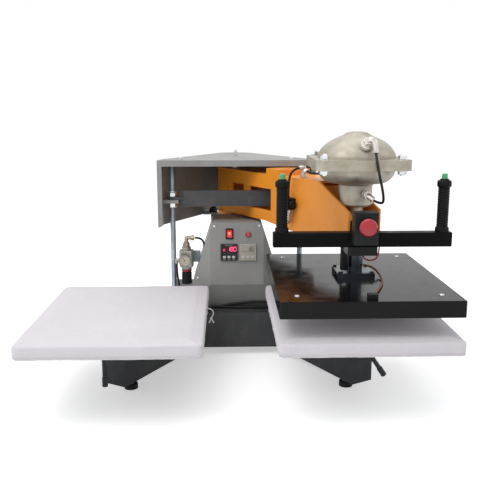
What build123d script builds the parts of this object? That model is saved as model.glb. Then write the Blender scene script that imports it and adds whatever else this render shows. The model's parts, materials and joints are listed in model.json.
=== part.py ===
from build123d import *
import math
import os

# Dual station heat press: one swinging air-driven head over two fixed work tables.
# Millimetres. X to the right, Y away from the user, Z up, origin on the floor
# under the middle of the machine.

os.makedirs("parts", exist_ok=True)

# Overall layout
station_x = 281.0
table_y = -213.0
head_y = -203.0
pivot_y = 294.0
floor_gap = 21.0
swing_reach = math.hypot(station_x, pivot_y - head_y)
park_angle = math.degrees(math.atan2(station_x, pivot_y - head_y))
running_gap = 0.05
slide_gap = 0.1
seat_gap = 0.3

# Base box
base_half_width = 210.0
base_front = 32.0
base_back = 430.0
base_height = 103.0
base_wall = 3.0
base_top = floor_gap + base_height

# Legs
leg_width = 62.0
leg_height = 75.0
leg_wall = 3.0
leg_reach = 612.0
leg_angle = 30.0
leg_top = floor_gap + leg_height

# Levelling feet
foot_radius = 17.0
foot_height = 12.0
foot_stud_radius = 5.0
foot_nut_radius = 8.0
foot_nut_height = 6.0
rear_foot_x = 185.0
rear_foot_y = 400.0
leg_foot_reach = 566.0
leg_foot_inset = 13.0

# Column and pivot
column_radius = 45.0
column_wall = 5.0
column_base_radius = 60.0
column_base_thickness = 10.0
column_flange_radius = 55.0
column_flange_thickness = 12.0
column_top = 371.0
pin_radius = 20.0
pin_bottom = 330.0
pin_shoulder = 545.0
pin_thread_radius = 4.0
pin_top = 568.0
pivot_nut_radius = 7.5
pivot_nut_height = 11.0

# Parallel linkage that keeps the head square to the tables
crank_throw = 35.5
crank_bottom = 397.0
crank_thickness = 10.0
crank_ring_radius = 32.0
crank_end_radius = 7.0
crank_arm_width = 13.0
crank_pin_radius = 3.5
link_thickness = 8.0
link_width = 13.0
link_gap = 1.5
crank_top = crank_bottom + crank_thickness

# Top housing
housing_top = 551.0
housing_bottom = 363.0
housing_wall = 5.0
housing_front = 73.0
housing_front_half = 222.0
housing_side_half = 214.0
housing_side_y = 127.0
housing_back_half = 62.0
housing_back_y = 417.0
housing_apex_y = 465.0
housing_lip = 17.0
housing_side_strip = 13.0
housing_foot = 12.0

# Tie rods
front_rod_x = 184.0
front_rod_y = 122.0
rear_rod_x = 71.0
rear_rod_y = 332.0
rod_radius = 8.0
rod_hole_radius = rod_radius + seat_gap
rod_bottom = base_top - base_wall - 16.0
front_rod_top = housing_top - housing_wall - seat_gap
rear_rod_top = 389.0
nut_radius = 13.0
nut_height = 13.0
tab_thickness = 6.0
lug_bottom = 427.0
lug_thickness = 9.0

# Guide bar
bar_front = 99.0
bar_thickness = 10.0
bar_bottom = 419.0
bar_height = 45.0
bar_half_length = 150.0
bar_end_x = 163.0
bar_end_y = 118.0

# Deck bolts
deck_bolt_x = 158.0
deck_bolt_y = 130.0
deck_bolt_radius = 5.5
deck_bolt_head = 4.0
panel_screw_radius = 3.5
panel_screw_head = 2.0

# Swing arm, drawn along -Y from the pivot and then turned
arm_half_width = 50.0
arm_plate = 6.0
arm_block_rear = 485.0
arm_rear = 23.0
arm_end = 608.0
arm_top = 515.0
arm_low_rear = 385.0
arm_low_front = 375.0
arm_low_start = 250.0
arm_low_end = 360.0
arm_nose_start = 492.0
arm_nose_top = 452.0
slot_start = 165.0
slot_end = 277.0
slot_low = 415.0
slot_high = 475.0
window_start = 66.0
window_end = 132.0
window_low = 440.0
window_high = 476.0
block_start = 253.0
block_end = 318.0
block_top = 531.0
hub_ring_radius = 55.0
hub_ring_bottom = 372.0
hub_tube_radius = 32.0
hub_tube_bottom = 420.0
bush_radius = 25.0
head_plate_start = 520.0
head_plate_thickness = 11.0
mount_start = 505.0
mount_bottom = 432.0
mount_thickness = 12.0

# Air actuator
flange_half = 108.0
flange_corner = 14.0
flange_bottom = 552.0
flange_split = 564.0
flange_top = 576.0
flange_hole_offset = 88.0
flange_bolt_radius = 5.0
flange_nut_radius = 10.5
dome_radius = 92.0
dome_top = 637.0
dome_wall = 5.0
neck_radius = 40.0
neck_bottom = 461.0
neck_wall = 6.0
nose_radius = 20.0
diaphragm_thickness = 3.0
spring_wire = 2.5
spring_radius = 27.0
spring_turns = 5
spring_steps = 10

# Press shaft and platen, drawn with the head raised
press_stroke = 44.0
shaft_radius = 23.0
shaft_top = 428.0
push_rod_radius = 10.0
plate_radius = 56.0
plate_bottom = 568.0
plate_thickness = 7.0
platen_half_x = 199.0
platen_half_y = 249.0
platen_bottom = 254.0
platen_top = 291.0
casing_wall = 3.0
heat_plate_thickness = 14.0
heat_plate_gap = 1.0
element_count = 6
element_pitch = 60.0
element_width = 8.0
element_depth = 6.0
shaft_flange_half = 45.0
shaft_flange_thickness = 12.0
shaft_bolt_offset = 38.5
shaft_bolt_radius = 4.5
shaft_bolt_head = 4.0
guide_x = -28.0
guide_y = -35.0
guide_radius = 6.0
guide_top = 371.0
guide_sleeve_radius = 10.0
guide_sleeve_bottom = 311.0
platen_screw_x = 158.0
platen_screw_y = 200.0
platen_screw_radius = 3.0
platen_screw_head_radius = 5.5
platen_screw_head = 2.5

# Head hub and handle
hub_radius = 30.0
hub_bottom = 360.0
hub_collar_radius = crank_ring_radius
bracket_thickness = 12.0
bracket_half_width = 34.0
handle_y = -297.5
handle_depth = 31.0
handle_bottom = 380.0
handle_top = 413.0
handle_half = 204.0
handle_wall = 3.0
grip_x = 184.0
grip_radius = 13.5
grip_height = 118.0
grip_flange_radius = 16.0
grip_rib_count = 9
grip_rib_depth = 1.2
grip_sides = 20
grip_core_radius = 9.0
button_radius = 6.5
button_height = 15.0
bezel_radius = 10.0
button_travel = 4.0

# Emergency stop
stop_half = 27.0
stop_bottom = 391.0
stop_top = 464.0
stop_depth = 35.0
stop_cap_z = 434.0
stop_cap_radius = 20.0
stop_stem_radius = 9.0
stop_collar_radius = 15.0
stop_collar_depth = 8.0
stop_wall = 2.5
stop_travel = 5.0

# Tables
pad_half_x = 197.0
pad_half_y = 247.0
cover_half_x = 202.0
cover_half_y = 252.0
cover_top = 209.0
cover_bottom = 171.0
cover_thickness = 1.6
pillow_corner = 12.0
plate_corner = 9.0
table_plate_top = 184.0
table_plate_bottom = 176.0
post_radius = 30.0
post_flange_radius = 48.0
post_flange_thickness = 8.0

# Table locking levers
lever_y = -283.0
lever_z = 116.0
lever_radius = 5.5
left_lever_length = 76.0
right_lever_length = 67.0
lever_screw_radius = 6.0
left_lever_x = -321.0
right_lever_x = 311.0
right_lever_angle = 34.0
clamp_radius = 38.0
clamp_half = 12.0

# Control box
box_front = 67.0
box_back = 237.0
box_top = 377.0
box_knee = 197.0
box_top_half = 70.0
box_low_half = 128.0
box_skirt_front = 98.0
box_fold_half = 76.0
box_wing_depth = 24.0
box_sheet = 2.0
box_corner = 12.0

# Panel parts, placed by their centres
meter_size = 48.0
meter_z = 292.0
controller_x = -22.5
timer_x = 31.0
switch_x = -21.0
switch_z = 345.0
switch_width = 22.0
switch_height = 31.0
switch_wall = 1.2
rocker_depth = 1.0
rocker_swing_radius = 11.4
rocker_pin_radius = 1.5
lamp_x = 32.0
lamp_z = 343.0
lamp_radius = 8.0

# Air regulator
regulator_x = -146.0
regulator_y = 112.0
regulator_half = 20.0
regulator_bottom = 243.0
regulator_top = 290.0
knob_radius = 14.5
knob_height = 44.0
knob_lobes = 16
knob_groove = 1.5

# Cables and hoses
cord_sides = 6
hose_radius = 3.0
cable_radius = 3.5
lead_radius = 1.8
heater_cable_radius = 2.6
string_radius = 1.6
string_knot_radius = 4.2


def prism_z(points, low, high):
    """Upright prism over an XY outline."""
    face = make_face(Polyline(*points, close=True))
    return Pos(0, 0, low) * extrude(face, amount=high - low)


def prism_x(points, low, high):
    """Prism along X over a YZ outline."""
    face = Plane.YZ * make_face(Polyline(*points, close=True))
    return Pos(low, 0, 0) * extrude(face, amount=high - low)


def prism_y(points, low, high):
    """Prism along Y over an XZ outline."""
    face = Plane.XZ * make_face(Polyline(*points, close=True))
    return Pos(0, high, 0) * extrude(face, amount=high - low)


def box(x0, x1, y0, y1, z0, z1):
    """Box between two corners."""
    return Pos((x0 + x1) / 2, (y0 + y1) / 2, (z0 + z1) / 2) * Box(x1 - x0, y1 - y0, z1 - z0)


def rod(radius, low, high, x=0.0, y=0.0):
    """Upright cylinder."""
    return Pos(x, y, (low + high) / 2) * Cylinder(radius, high - low)


def bar_between(start, end, radius):
    """Cylinder from one point to another."""
    a = Vector(*start)
    b = Vector(*end)
    return Solid.make_cylinder(radius, (b - a).length, Plane(origin=a, z_dir=b - a))


def turned(points):
    """Solid of revolution about Z from an XZ outline."""
    return revolve(Plane.XZ * make_face(Polyline(*points, close=True)), Axis.Z)


def hexagon(radius, low, high, x=0.0, y=0.0):
    """Hexagonal nut or bolt head, radius over the corners."""
    return Pos(x, y, low) * extrude(RegularPolygon(radius, 6), amount=high - low)


def faceted_bar(start, end, radius, sides=8):
    """Bar of polygon section from one point to another."""
    a = Vector(*start)
    b = Vector(*end)
    return extrude(Plane(origin=a, z_dir=b - a) * RegularPolygon(radius, sides), amount=(b - a).length)


def bent_tube(points, radius, sides=8):
    """Short fitting of polygon section, mitred at its bends."""
    path = Polyline(*points)
    section = Plane(origin=path @ 0, z_dir=path % 0) * RegularPolygon(radius, sides)
    return sweep(section, path, transition=Transition.RIGHT)


def cord(points, radii, radius):
    """Cord of hexagonal section along straight runs joined by tangent arcs."""
    path = FilletPolyline(*points, radius=radii)
    return sweep(Plane(origin=path @ 0, z_dir=path % 0) * RegularPolygon(radius, cord_sides), path)


def bend_radii(points, share=0.45):
    """Bend radius at each inner point, from the shorter run beside it."""
    radii = []
    for before, here, after in zip(points, points[1:], points[2:]):
        a = Vector(*here) - Vector(*before)
        b = Vector(*after) - Vector(*here)
        half_turn = math.radians(a.get_angle(b)) / 2
        radii.append(share * min(a.length, b.length) / math.tan(half_turn))
    return radii


def run_cord(name, points, radius):
    """Cord with its bends printed and its volume checked against its length."""
    radii = bend_radii(points)
    solid = cord(points, radii, radius)
    length = FilletPolyline(*points, radius=radii).length
    section = cord_sides / 2 * radius ** 2 * math.sin(2 * math.pi / cord_sides)
    print(name, "length", round(length), "bends", [round(r, 1) for r in radii])
    print(name, "volume ratio", round(solid.volume / (section * length), 3))
    return solid


def save(shape, name):
    """Write one node; groups of solids stay apart."""
    export_step(shape, "parts/" + name + ".step")


def group(*shapes):
    """Separate solids that share a node."""
    solids = []
    for shape in shapes:
        solids.extend(shape.solids())
    return Compound(children=solids)


arm_place = Pos(0, pivot_y, 0) * Rot(0, 0, park_angle)
head_place = Pos(station_x, head_y, 0)

# Base box: folded steel, open below
base_box = box(-base_half_width, base_half_width, base_front, base_back, floor_gap, base_top)
base_box = chamfer(base_box.edges().filter_by(Axis.Z), 4.0)
base_box -= box(
    -base_half_width + base_wall,
    base_half_width - base_wall,
    base_front + base_wall,
    base_back - base_wall,
    floor_gap - 1,
    base_top - base_wall,
)
foot_rail = box(
    -base_half_width + base_wall,
    base_half_width - base_wall,
    rear_foot_y - foot_radius,
    base_back - base_wall,
    floor_gap,
    floor_gap + base_wall,
)
base_box += foot_rail
for side in (-1, 1):
    base_box -= rod(rod_hole_radius, base_top - 10, base_top + 1, side * front_rod_x, front_rod_y)
    base_box -= rod(rod_hole_radius, base_top - 10, base_top + 1, side * rear_rod_x, rear_rod_y)
save(base_box, "base_box")


def leg(side):
    """Radial square tube from the base box to below one table."""
    outer = box(-leg_width / 2, leg_width / 2, -leg_reach, -250, floor_gap, leg_top)
    inner = box(
        -leg_width / 2 + leg_wall,
        leg_width / 2 - leg_wall,
        -leg_reach + leg_wall,
        -200,
        floor_gap + leg_wall,
        leg_top - leg_wall,
    )
    tube = outer - inner
    tube = Pos(0, pivot_y, 0) * Rot(0, 0, side * leg_angle) * tube
    return tube - box(-400, 400, base_front, 500, 0, 200)


save(group(leg(-1), leg(1)), "legs")

# Levelling feet: rubber pads on steel studs
foot_spots = []
for side in (-1, 1):
    foot_angle = math.radians(side * leg_angle)
    foot_x = leg_foot_reach * math.sin(foot_angle) - side * leg_foot_inset * math.cos(foot_angle)
    foot_depth = pivot_y - leg_foot_reach * math.cos(foot_angle) - leg_foot_inset * abs(math.sin(foot_angle))
    foot_spots.append((foot_x, foot_depth))
    foot_spots.append((side * rear_foot_x, rear_foot_y))
pads = []
studs = []
for x, y in foot_spots:
    pad = rod(foot_radius, 0, foot_height)
    pads.append(Pos(x, y, 0) * pad)
    stud = hexagon(foot_stud_radius, foot_height, floor_gap)
    stud += hexagon(foot_nut_radius, foot_height, foot_height + foot_nut_height)
    studs.append(Pos(x, y, 0) * stud)
save(group(*pads), "foot_pads")
save(group(*studs), "base_fasteners")

# Column with base and top flanges
column = rod(column_radius, base_top, column_top, 0, pivot_y)
column += rod(column_base_radius, base_top, base_top + column_base_thickness, 0, pivot_y)
column += rod(
    column_flange_radius, column_top - column_flange_thickness, column_top, 0, pivot_y
)
column -= rod(column_radius - column_wall, base_top - 1, pin_bottom, 0, pivot_y)
column -= rod(pin_radius, pin_bottom - 1, column_top + 1, 0, pivot_y)
save(column, "column")

pivot_pin = rod(pin_radius, pin_bottom, pin_shoulder, 0, pivot_y)
pivot_pin += rod(pin_thread_radius, pin_shoulder, pin_top, 0, pivot_y)
pivot_pin += hexagon(pivot_nut_radius, housing_top, housing_top + pivot_nut_height, 0, pivot_y)
save(pivot_pin, "pivot_pin")


def crank(inner, ring):
    """Ring with a short arm to the right that carries one upright link pin."""
    pin_high = crank_top + link_gap + link_thickness + 0.5
    body = rod(ring, crank_bottom, crank_top)
    body += box(0, crank_throw, -crank_arm_width / 2, crank_arm_width / 2, crank_bottom, crank_top)
    body += rod(crank_end_radius, crank_bottom, crank_top, crank_throw)
    body += rod(crank_pin_radius, crank_top, pin_high, crank_throw)
    return body - rod(inner, crank_bottom - 1, crank_top + 1)


save(Pos(0, pivot_y, 0) * crank(pin_radius, crank_ring_radius), "fixed_crank")

# Parallel link between the two crank pins
link_low = crank_top + link_gap
link_high = link_low + link_thickness
link = box(-link_width / 2, link_width / 2, -swing_reach, 0, link_low, link_high)
for end in (0, -swing_reach):
    link += rod(link_width / 2, link_low, link_high, 0, end)
    link -= rod(crank_pin_radius + running_gap, link_low - 1, link_high + 1, 0, end)
save(Pos(crank_throw, pivot_y, 0) * Rot(0, 0, park_angle) * link, "parallel_link")

# Top housing: house-shaped in plan, open below and in front
plan = make_face(
    Polyline(
        (-housing_back_half, housing_back_y),
        (-housing_side_half, housing_side_y),
        (-housing_front_half, housing_front),
        (housing_front_half, housing_front),
        (housing_side_half, housing_side_y),
        (housing_back_half, housing_back_y),
    )
    + ThreePointArc(
        (-housing_back_half, housing_back_y), (0, housing_apex_y), (housing_back_half, housing_back_y)
    )
)
inner_plan = offset(plan, amount=-housing_wall, kind=Kind.INTERSECTION)
housing = Pos(0, 0, housing_bottom) * extrude(plan, amount=housing_top - housing_bottom)
housing -= Pos(0, 0, housing_bottom - 1) * extrude(
    inner_plan, amount=housing_top - housing_wall - housing_bottom + 1
)
opening = housing_front_half - housing_side_strip
housing -= box(
    -opening, opening, housing_front - 1, housing_front + housing_wall + 1,
    housing_bottom - 1, housing_top - housing_lip,
)
for side in (-1, 1):
    # Slanted foot of the front strip
    x_out = side * (housing_front_half + 1)
    x_in = side * (opening - 1)
    housing -= prism_y(
        [
            (x_in, housing_bottom - 1),
            (x_out - side * 5, housing_bottom - 1),
            (x_in, housing_bottom + housing_foot),
        ],
        housing_front - 1,
        housing_front + housing_wall + 0.5,
    )
    lug_a = side * (front_rod_x - 18)
    lug_b = side * (housing_side_half - 1)
    housing += box(
        min(lug_a, lug_b), max(lug_a, lug_b), front_rod_y - 18, front_rod_y + 18,
        lug_bottom, lug_bottom + lug_thickness,
    )
    tab_a = side * (rear_rod_x - 15)
    tab_b = side * 104.0
    housing += box(
        min(tab_a, tab_b), max(tab_a, tab_b), rear_rod_y - 15, rear_rod_y + 11,
        housing_bottom, housing_bottom + tab_thickness,
    )
    housing -= rod(rod_hole_radius, lug_bottom - 1, lug_bottom + 20, side * front_rod_x, front_rod_y)
    housing -= rod(
        rod_hole_radius, housing_bottom - 1, housing_bottom + 20, side * rear_rod_x, rear_rod_y
    )
housing -= rod(pin_thread_radius + seat_gap, housing_top - 20, housing_top + 1, 0, pivot_y)
save(housing, "top_housing")

# Tie rods with their nuts
rods = {"front_tie_rods": [], "rear_tie_rods": []}
bar_lug_top = lug_bottom + 2 * lug_thickness
front_nuts = (base_top, lug_bottom - nut_height, bar_lug_top)
rear_nuts = (base_top, housing_bottom + tab_thickness)
for side in (-1, 1):
    for name, x, y, high, seats in (
        ("front_tie_rods", front_rod_x, front_rod_y, front_rod_top, front_nuts),
        ("rear_tie_rods", rear_rod_x, rear_rod_y, rear_rod_top, rear_nuts),
    ):
        body = rod(rod_radius, rod_bottom, high, side * x, y)
        for low in seats:
            body += hexagon(nut_radius, low, low + nut_height, side * x, y)
        rods[name].append(body)
for name, bodies in rods.items():
    save(group(*bodies), name)

# Guide bar: flat bar bent back at both ends, with a lug for each front rod
bar = box(
    -bar_half_length, bar_half_length, bar_front, bar_front + bar_thickness,
    bar_bottom, bar_bottom + bar_height,
)
for side in (-1, 1):
    outline = [
        (side * bar_half_length, bar_front),
        (side * bar_end_x, bar_end_y - bar_thickness * 0.7),
        (side * (bar_end_x - bar_thickness * 0.7), bar_end_y),
        (side * (bar_half_length - bar_thickness * 0.4), bar_front + bar_thickness),
    ]
    bar += prism_z(outline, bar_bottom, bar_bottom + bar_height)
    lug_low = lug_bottom + lug_thickness
    lug = box(
        min(side * (bar_end_x - 8), side * front_rod_x),
        max(side * (bar_end_x - 8), side * front_rod_x),
        front_rod_y - 15,
        front_rod_y + 11,
        lug_low,
        lug_low + lug_thickness,
    )
    lug += rod(14.0, lug_low, lug_low + lug_thickness, side * front_rod_x, front_rod_y)
    bar += lug
    bar -= rod(rod_hole_radius, lug_low - 1, lug_low + lug_thickness + 1, side * front_rod_x, front_rod_y)
save(bar, "guide_bar")

# Deck bolts and panel screws
fasteners = []
for side in (-1, 1):
    bolt = hexagon(deck_bolt_radius, housing_top, housing_top + deck_bolt_head)
    fasteners.append(Pos(side * deck_bolt_x, deck_bolt_y, 0) * bolt)
panel_screw_spots = [(-64, 367), (64, 367), (-112, 213), (112, 213)]
panel_screws = []
for x, z in panel_screw_spots:
    y = box_front
    turn = 0.0
    if abs(x) > box_fold_half:
        slope = box_wing_depth / (box_low_half - box_fold_half)
        y = box_front + (abs(x) - box_fold_half) * slope
        turn = math.copysign(math.degrees(math.atan(slope)), x)
    head = extrude(RegularPolygon(panel_screw_radius, 8), amount=panel_screw_head)
    panel_screws.append(Pos(x, y, z) * Rot(0, 0, turn) * Rot(90, 0, 0) * head)

# Control box: folded sheet with side wings and a raked skirt


def box_shell(inset):
    """Outline solid of the control box, drawn in by the sheet thickness."""
    top = box_top - inset
    top_half = box_top_half - inset * 0.8
    low_half = box_low_half - inset * 1.05
    front = box_front + inset
    profile = [
        (-top_half, top),
        (top_half, top),
        (low_half, box_knee),
        (low_half, base_top),
        (-low_half, base_top),
        (-low_half, box_knee),
    ]
    solid = prism_y(profile, front, box_back)
    upright = solid.edges().filter_by(Axis.Y).sort_by(Axis.Z)[-2:]
    solid = fillet(upright, box_corner - inset)
    skirt = [
        (front - 1, box_knee),
        (front, box_knee),
        (box_skirt_front + inset, base_top),
        (box_skirt_front + inset, base_top - 1),
        (front - 1, base_top - 1),
    ]
    solid -= prism_x(skirt, -200, 200)
    for side in (-1, 1):
        fold = side * box_fold_half
        outer = side * (box_low_half + 20)
        deep = front + box_wing_depth * (box_low_half + 20 - box_fold_half) / (box_low_half - box_fold_half)
        solid -= prism_z([(fold, front), (outer, deep), (outer, front - 5), (fold, front - 5)], 100, 400)
    return solid


shell = box_shell(0.0) - Pos(0, 1, 0) * box_shell(box_sheet)
panel_hole_depth = box_front + box_sheet + 1
for x in (controller_x, timer_x):
    half = meter_size / 2 - 2
    shell -= box(x - half, x + half, box_front - 1, panel_hole_depth, meter_z - half, meter_z + half)
shell -= box(
    switch_x - switch_width / 2 + 2, switch_x + switch_width / 2 - 2, box_front - 1, panel_hole_depth,
    switch_z - switch_height / 2 + 2, switch_z + switch_height / 2 - 2,
)
shell -= Pos(lamp_x, box_front, lamp_z) * Rot(90, 0, 0) * Cylinder(lamp_radius - 2, 10)
save(shell, "control_box")
save(group(*fasteners, *panel_screws), "housing_fasteners")

# Rocker switch
half_w = switch_width / 2
half_h = switch_height / 2
frame = box(
    switch_x - half_w, switch_x + half_w, box_front - 2.5, box_front,
    switch_z - half_h, switch_z + half_h,
)
frame = chamfer(frame.edges().filter_by(Axis.Y), 1.5)
frame += box(
    switch_x - half_w + 2.3, switch_x + half_w - 2.3, box_front - 1, box_front + 24,
    switch_z - half_h + 2.3, switch_z + half_h - 2.3,
)
inner_w = half_w - 2.3 - switch_wall
inner_h = half_h - 2.3 - switch_wall
frame -= box(
    switch_x - inner_w, switch_x + inner_w, box_front - 5, box_front + 16, switch_z - inner_h, switch_z + inner_h
)
rocker_axis = box_front + rocker_depth
pin_reach = inner_w + switch_wall - slide_gap
frame -= bar_between(
    (switch_x - half_w + 2, rocker_axis, switch_z), (switch_x + half_w - 2, rocker_axis, switch_z),
    rocker_pin_radius + running_gap,
)
save(frame, "rocker_frame")
rocker_width = inner_w - 0.4
rocker_outline = []
for angle, share in ((-101, 0.94), (-148, 0.25), (148, 0.25), (122, 1.0), (85, 0.97), (30, 0.70), (-30, 0.70), (-79, 0.94)):
    reach = rocker_swing_radius * share
    depth = reach * math.cos(math.radians(angle))
    rise = reach * math.sin(math.radians(angle))
    rocker_outline.append((rocker_axis + depth, switch_z + rise))
rocker = prism_x(rocker_outline, switch_x - rocker_width, switch_x + rocker_width)
rocker += bar_between(
    (switch_x - pin_reach, rocker_axis, switch_z), (switch_x + pin_reach, rocker_axis, switch_z), rocker_pin_radius
)
save(rocker, "rocker")

# Pilot light
lamp = turned([(0, -10), (lamp_radius - 2.3, -10), (lamp_radius - 2.3, 0), (lamp_radius, 0), (lamp_radius, 3.0),
               (lamp_radius - 4, 8.0), (0, 8.0)])
save(Pos(lamp_x, box_front, lamp_z) * Rot(90, 0, 0) * lamp, "pilot_light")


def meter(x):
    """Square panel meter: bezel in front of the sheet, case behind it."""
    half = meter_size / 2
    body = box(x - half, x + half, box_front - 6, box_front, meter_z - half, meter_z + half)
    body = chamfer(body.edges().filter_by(Axis.Y), 1.5)
    body = chamfer(body.faces().sort_by(Axis.Y)[0].edges(), 1.2)
    depth = half - 2.3
    body += box(x - depth, x + depth, box_front - 2, box_front + 62, meter_z - depth, meter_z + depth)
    body -= box(x - half + 5, x + half - 5, box_front - 8, box_front - 5, meter_z + 1, meter_z + half - 5)
    for column_index in range(3):
        key_x = x + (column_index - 1) * 13.0
        body += box(key_x - 4.5, key_x + 4.5, box_front - 6.8, box_front - 5, meter_z - 17, meter_z - 9)
    return body


save(meter(controller_x), "temperature_controller")
save(meter(timer_x), "timer")
windows = []
for x in (controller_x, timer_x):
    half = meter_size / 2
    windows.append(
        box(x - half + 5.2, x + half - 5.2, box_front - 5.9, box_front - 5, meter_z + 1.2, meter_z + half - 5.2)
    )
save(group(*windows), "display_windows")

# Air regulator on the left of the control box
reg_front = regulator_y - regulator_half
body = box(
    regulator_x - regulator_half, regulator_x + regulator_half, reg_front, regulator_y + regulator_half,
    regulator_bottom, regulator_top,
)
body = chamfer(body.edges().filter_by(Axis.Z), 5.0)
body = chamfer(body.faces().sort_by(Axis.Z)[-1].edges(), 2.0)
body += rod(13.0, regulator_top - 1, regulator_top + 10, regulator_x, regulator_y)
body += rod(15.0, regulator_bottom - 8, regulator_bottom + 1, regulator_x, regulator_y)
port_x = regulator_x - regulator_half - 8.0
port_y = regulator_y - 8.0
port_z = 262.0
body += bent_tube([(regulator_x, port_y, port_z), (port_x, port_y, port_z), (port_x, port_y, port_z - 10)], 4.5)
gauge_spot = Pos(regulator_x - 4, reg_front, regulator_bottom + 22) * Rot(90, 0, 0)
body -= gauge_spot * Cylinder(5.0, 12)
save(body, "regulator_body")
gauge = turned([(0, -5), (4.9, -5), (4.9, 4), (17, 7), (17, 16), (0, 16)])
gauge -= Pos(0, 0, 15.6) * Cylinder(14.5, 2)
save(gauge_spot * gauge, "gauge")
knob_top = regulator_bottom - 8 - seat_gap
knob_outline = []
for index in range(2 * knob_lobes):
    turn = math.pi * index / knob_lobes
    reach = knob_radius - knob_groove * (index % 2)
    knob_outline.append((regulator_x + reach * math.cos(turn), regulator_y + reach * math.sin(turn)))
knob = prism_z(knob_outline, knob_top - knob_height, knob_top - 10)
knob += rod(knob_radius - knob_groove, knob_top - 10, knob_top, regulator_x, regulator_y)
save(knob, "regulator_knob")
bracket = box(regulator_x - 16, regulator_x + 16, regulator_y + regulator_half, regulator_y + regulator_half + 4, 250, 284)
bracket += box(
    regulator_x + 10, -box_low_half + 22, regulator_y + regulator_half, regulator_y + regulator_half + 4, 250, 284,
)
bracket -= box_shell(0.0)
save(bracket.solids().sort_by(SortBy.VOLUME)[-1], "regulator_bracket")
stem_top = regulator_top + 10
elbow = hexagon(9.0, stem_top, stem_top + 14, regulator_x, regulator_y)
elbow_top = stem_top + 26
elbow_end = (regulator_x + 24, regulator_y, elbow_top)
elbow += bent_tube([(regulator_x, regulator_y, stem_top + 12), (regulator_x, regulator_y, elbow_top), elbow_end], 6.0)
save(elbow, "brass_elbow")

# Work tables: frame, foam pad and fabric cover on each leg


def pillow(half_x, half_y, sections):
    """Soft block lofted through outlines with cut corners, each drawn in by its inset."""
    outlines = []
    for z, inset in sections:
        hx = half_x - inset
        hy = half_y - inset
        corner = []
        for turn in (0, 30, 60, 90):
            cx = hx - pillow_corner * (1 - math.cos(math.radians(turn)))
            cy = hy - pillow_corner * (1 - math.sin(math.radians(turn)))
            corner.append((cx, cy))
        ring = corner + [(-x, y) for x, y in reversed(corner)]
        ring += [(-x, -y) for x, y in corner] + [(x, -y) for x, y in reversed(corner)]
        outlines.append(Pos(0, 0, z) * make_face(Polyline(*ring, close=True)))
    return loft(outlines, ruled=True)


def table_frame(side, lever_x):
    """Plate, cross ribs and post, with a boss for the locking screw."""
    x = side * station_x
    plate = box(-pad_half_x, pad_half_x, -pad_half_y, pad_half_y, table_plate_bottom, table_plate_top)
    plate = chamfer(plate.edges().filter_by(Axis.Z), plate_corner)
    plate += box(-165, 165, -3, 3, table_plate_bottom - 20, table_plate_bottom)
    plate += box(-3, 3, -215, 215, table_plate_bottom - 20, table_plate_bottom)
    plate += rod(post_flange_radius, table_plate_bottom - post_flange_thickness, table_plate_bottom)
    plate += rod(post_radius, leg_top, table_plate_bottom)
    plate += rod(clamp_radius, lever_z - clamp_half, lever_z + clamp_half)
    foot = box(-leg_width / 2 + 1, leg_width / 2 - 1, -42, 42, leg_top, leg_top + post_flange_thickness)
    plate += Rot(0, 0, side * leg_angle) * foot
    plate = Pos(x, table_y, 0) * plate
    boss_back = table_y - 8.0
    plate += bar_between((lever_x, lever_y + 11, lever_z), (lever_x, boss_back, lever_z), 11.0)
    bore = bar_between((lever_x, lever_y, lever_z), (lever_x, boss_back - 4, lever_z), lever_screw_radius + running_gap)
    return plate - bore


def lever(x, length, angle):
    """Locking lever: screw, hub and a rod with a thicker end."""
    lean_x = math.sin(math.radians(angle))
    lean_z = -math.cos(math.radians(angle))
    reach_x = x + length * lean_x
    reach_z = lever_z + length * lean_z
    grip_start = (x + (length - 22) * lean_x, lever_y - 4, lever_z + (length - 22) * lean_z)
    body = bar_between((x, lever_y - 8, lever_z), (x, lever_y + 9, lever_z), 9.0)
    body += bar_between((x, lever_y, lever_z), (x, table_y - 20, lever_z), lever_screw_radius)
    body += faceted_bar((x, lever_y - 4, lever_z), (reach_x, lever_y - 4, reach_z), lever_radius)
    return body + faceted_bar(grip_start, (reach_x, lever_y - 4, reach_z), lever_radius + 1.5)


save(group(table_frame(-1, left_lever_x), table_frame(1, right_lever_x)), "table_frames")
save(lever(left_lever_x, left_lever_length, 0.0), "left_table_lever")
save(lever(right_lever_x, right_lever_length, right_lever_angle), "right_table_lever")

pad_low = table_plate_top + seat_gap
pad_sections = [(pad_low, 0.0), (196.5, 0.5), (202.3, 15.0), (205.8, 44.0), (206.4, 90.0)]
cover_sections = [
    (cover_bottom, 3.0), (188.0, 0.0), (198.0, 0.8), (203.0, 11.0), (208.3, 46.0), (cover_top, 90.0),
]
inner_sections = [(cover_bottom + cover_thickness, 3.0 + cover_thickness)]
for z, inset in cover_sections[2:]:
    inner_sections.append((z - cover_thickness, inset + cover_thickness))
pads = []
for side, name in ((-1, "left_table_cover"), (1, "right_table_cover")):
    place = Pos(side * station_x, table_y, 0)
    pads.append(place * pillow(pad_half_x, pad_half_y, pad_sections))
    cover = pillow(cover_half_x, cover_half_y, cover_sections)
    cover -= pillow(cover_half_x, cover_half_y, inner_sections)
    opening_cut = RectangleRounded(2 * (cover_half_x - 24), 2 * (cover_half_y - 24), 10.0)
    cover -= Pos(0, 0, cover_bottom - 1) * extrude(opening_cut, amount=4)
    save(place * cover, name)
save(group(*pads), "table_pads")

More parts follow.
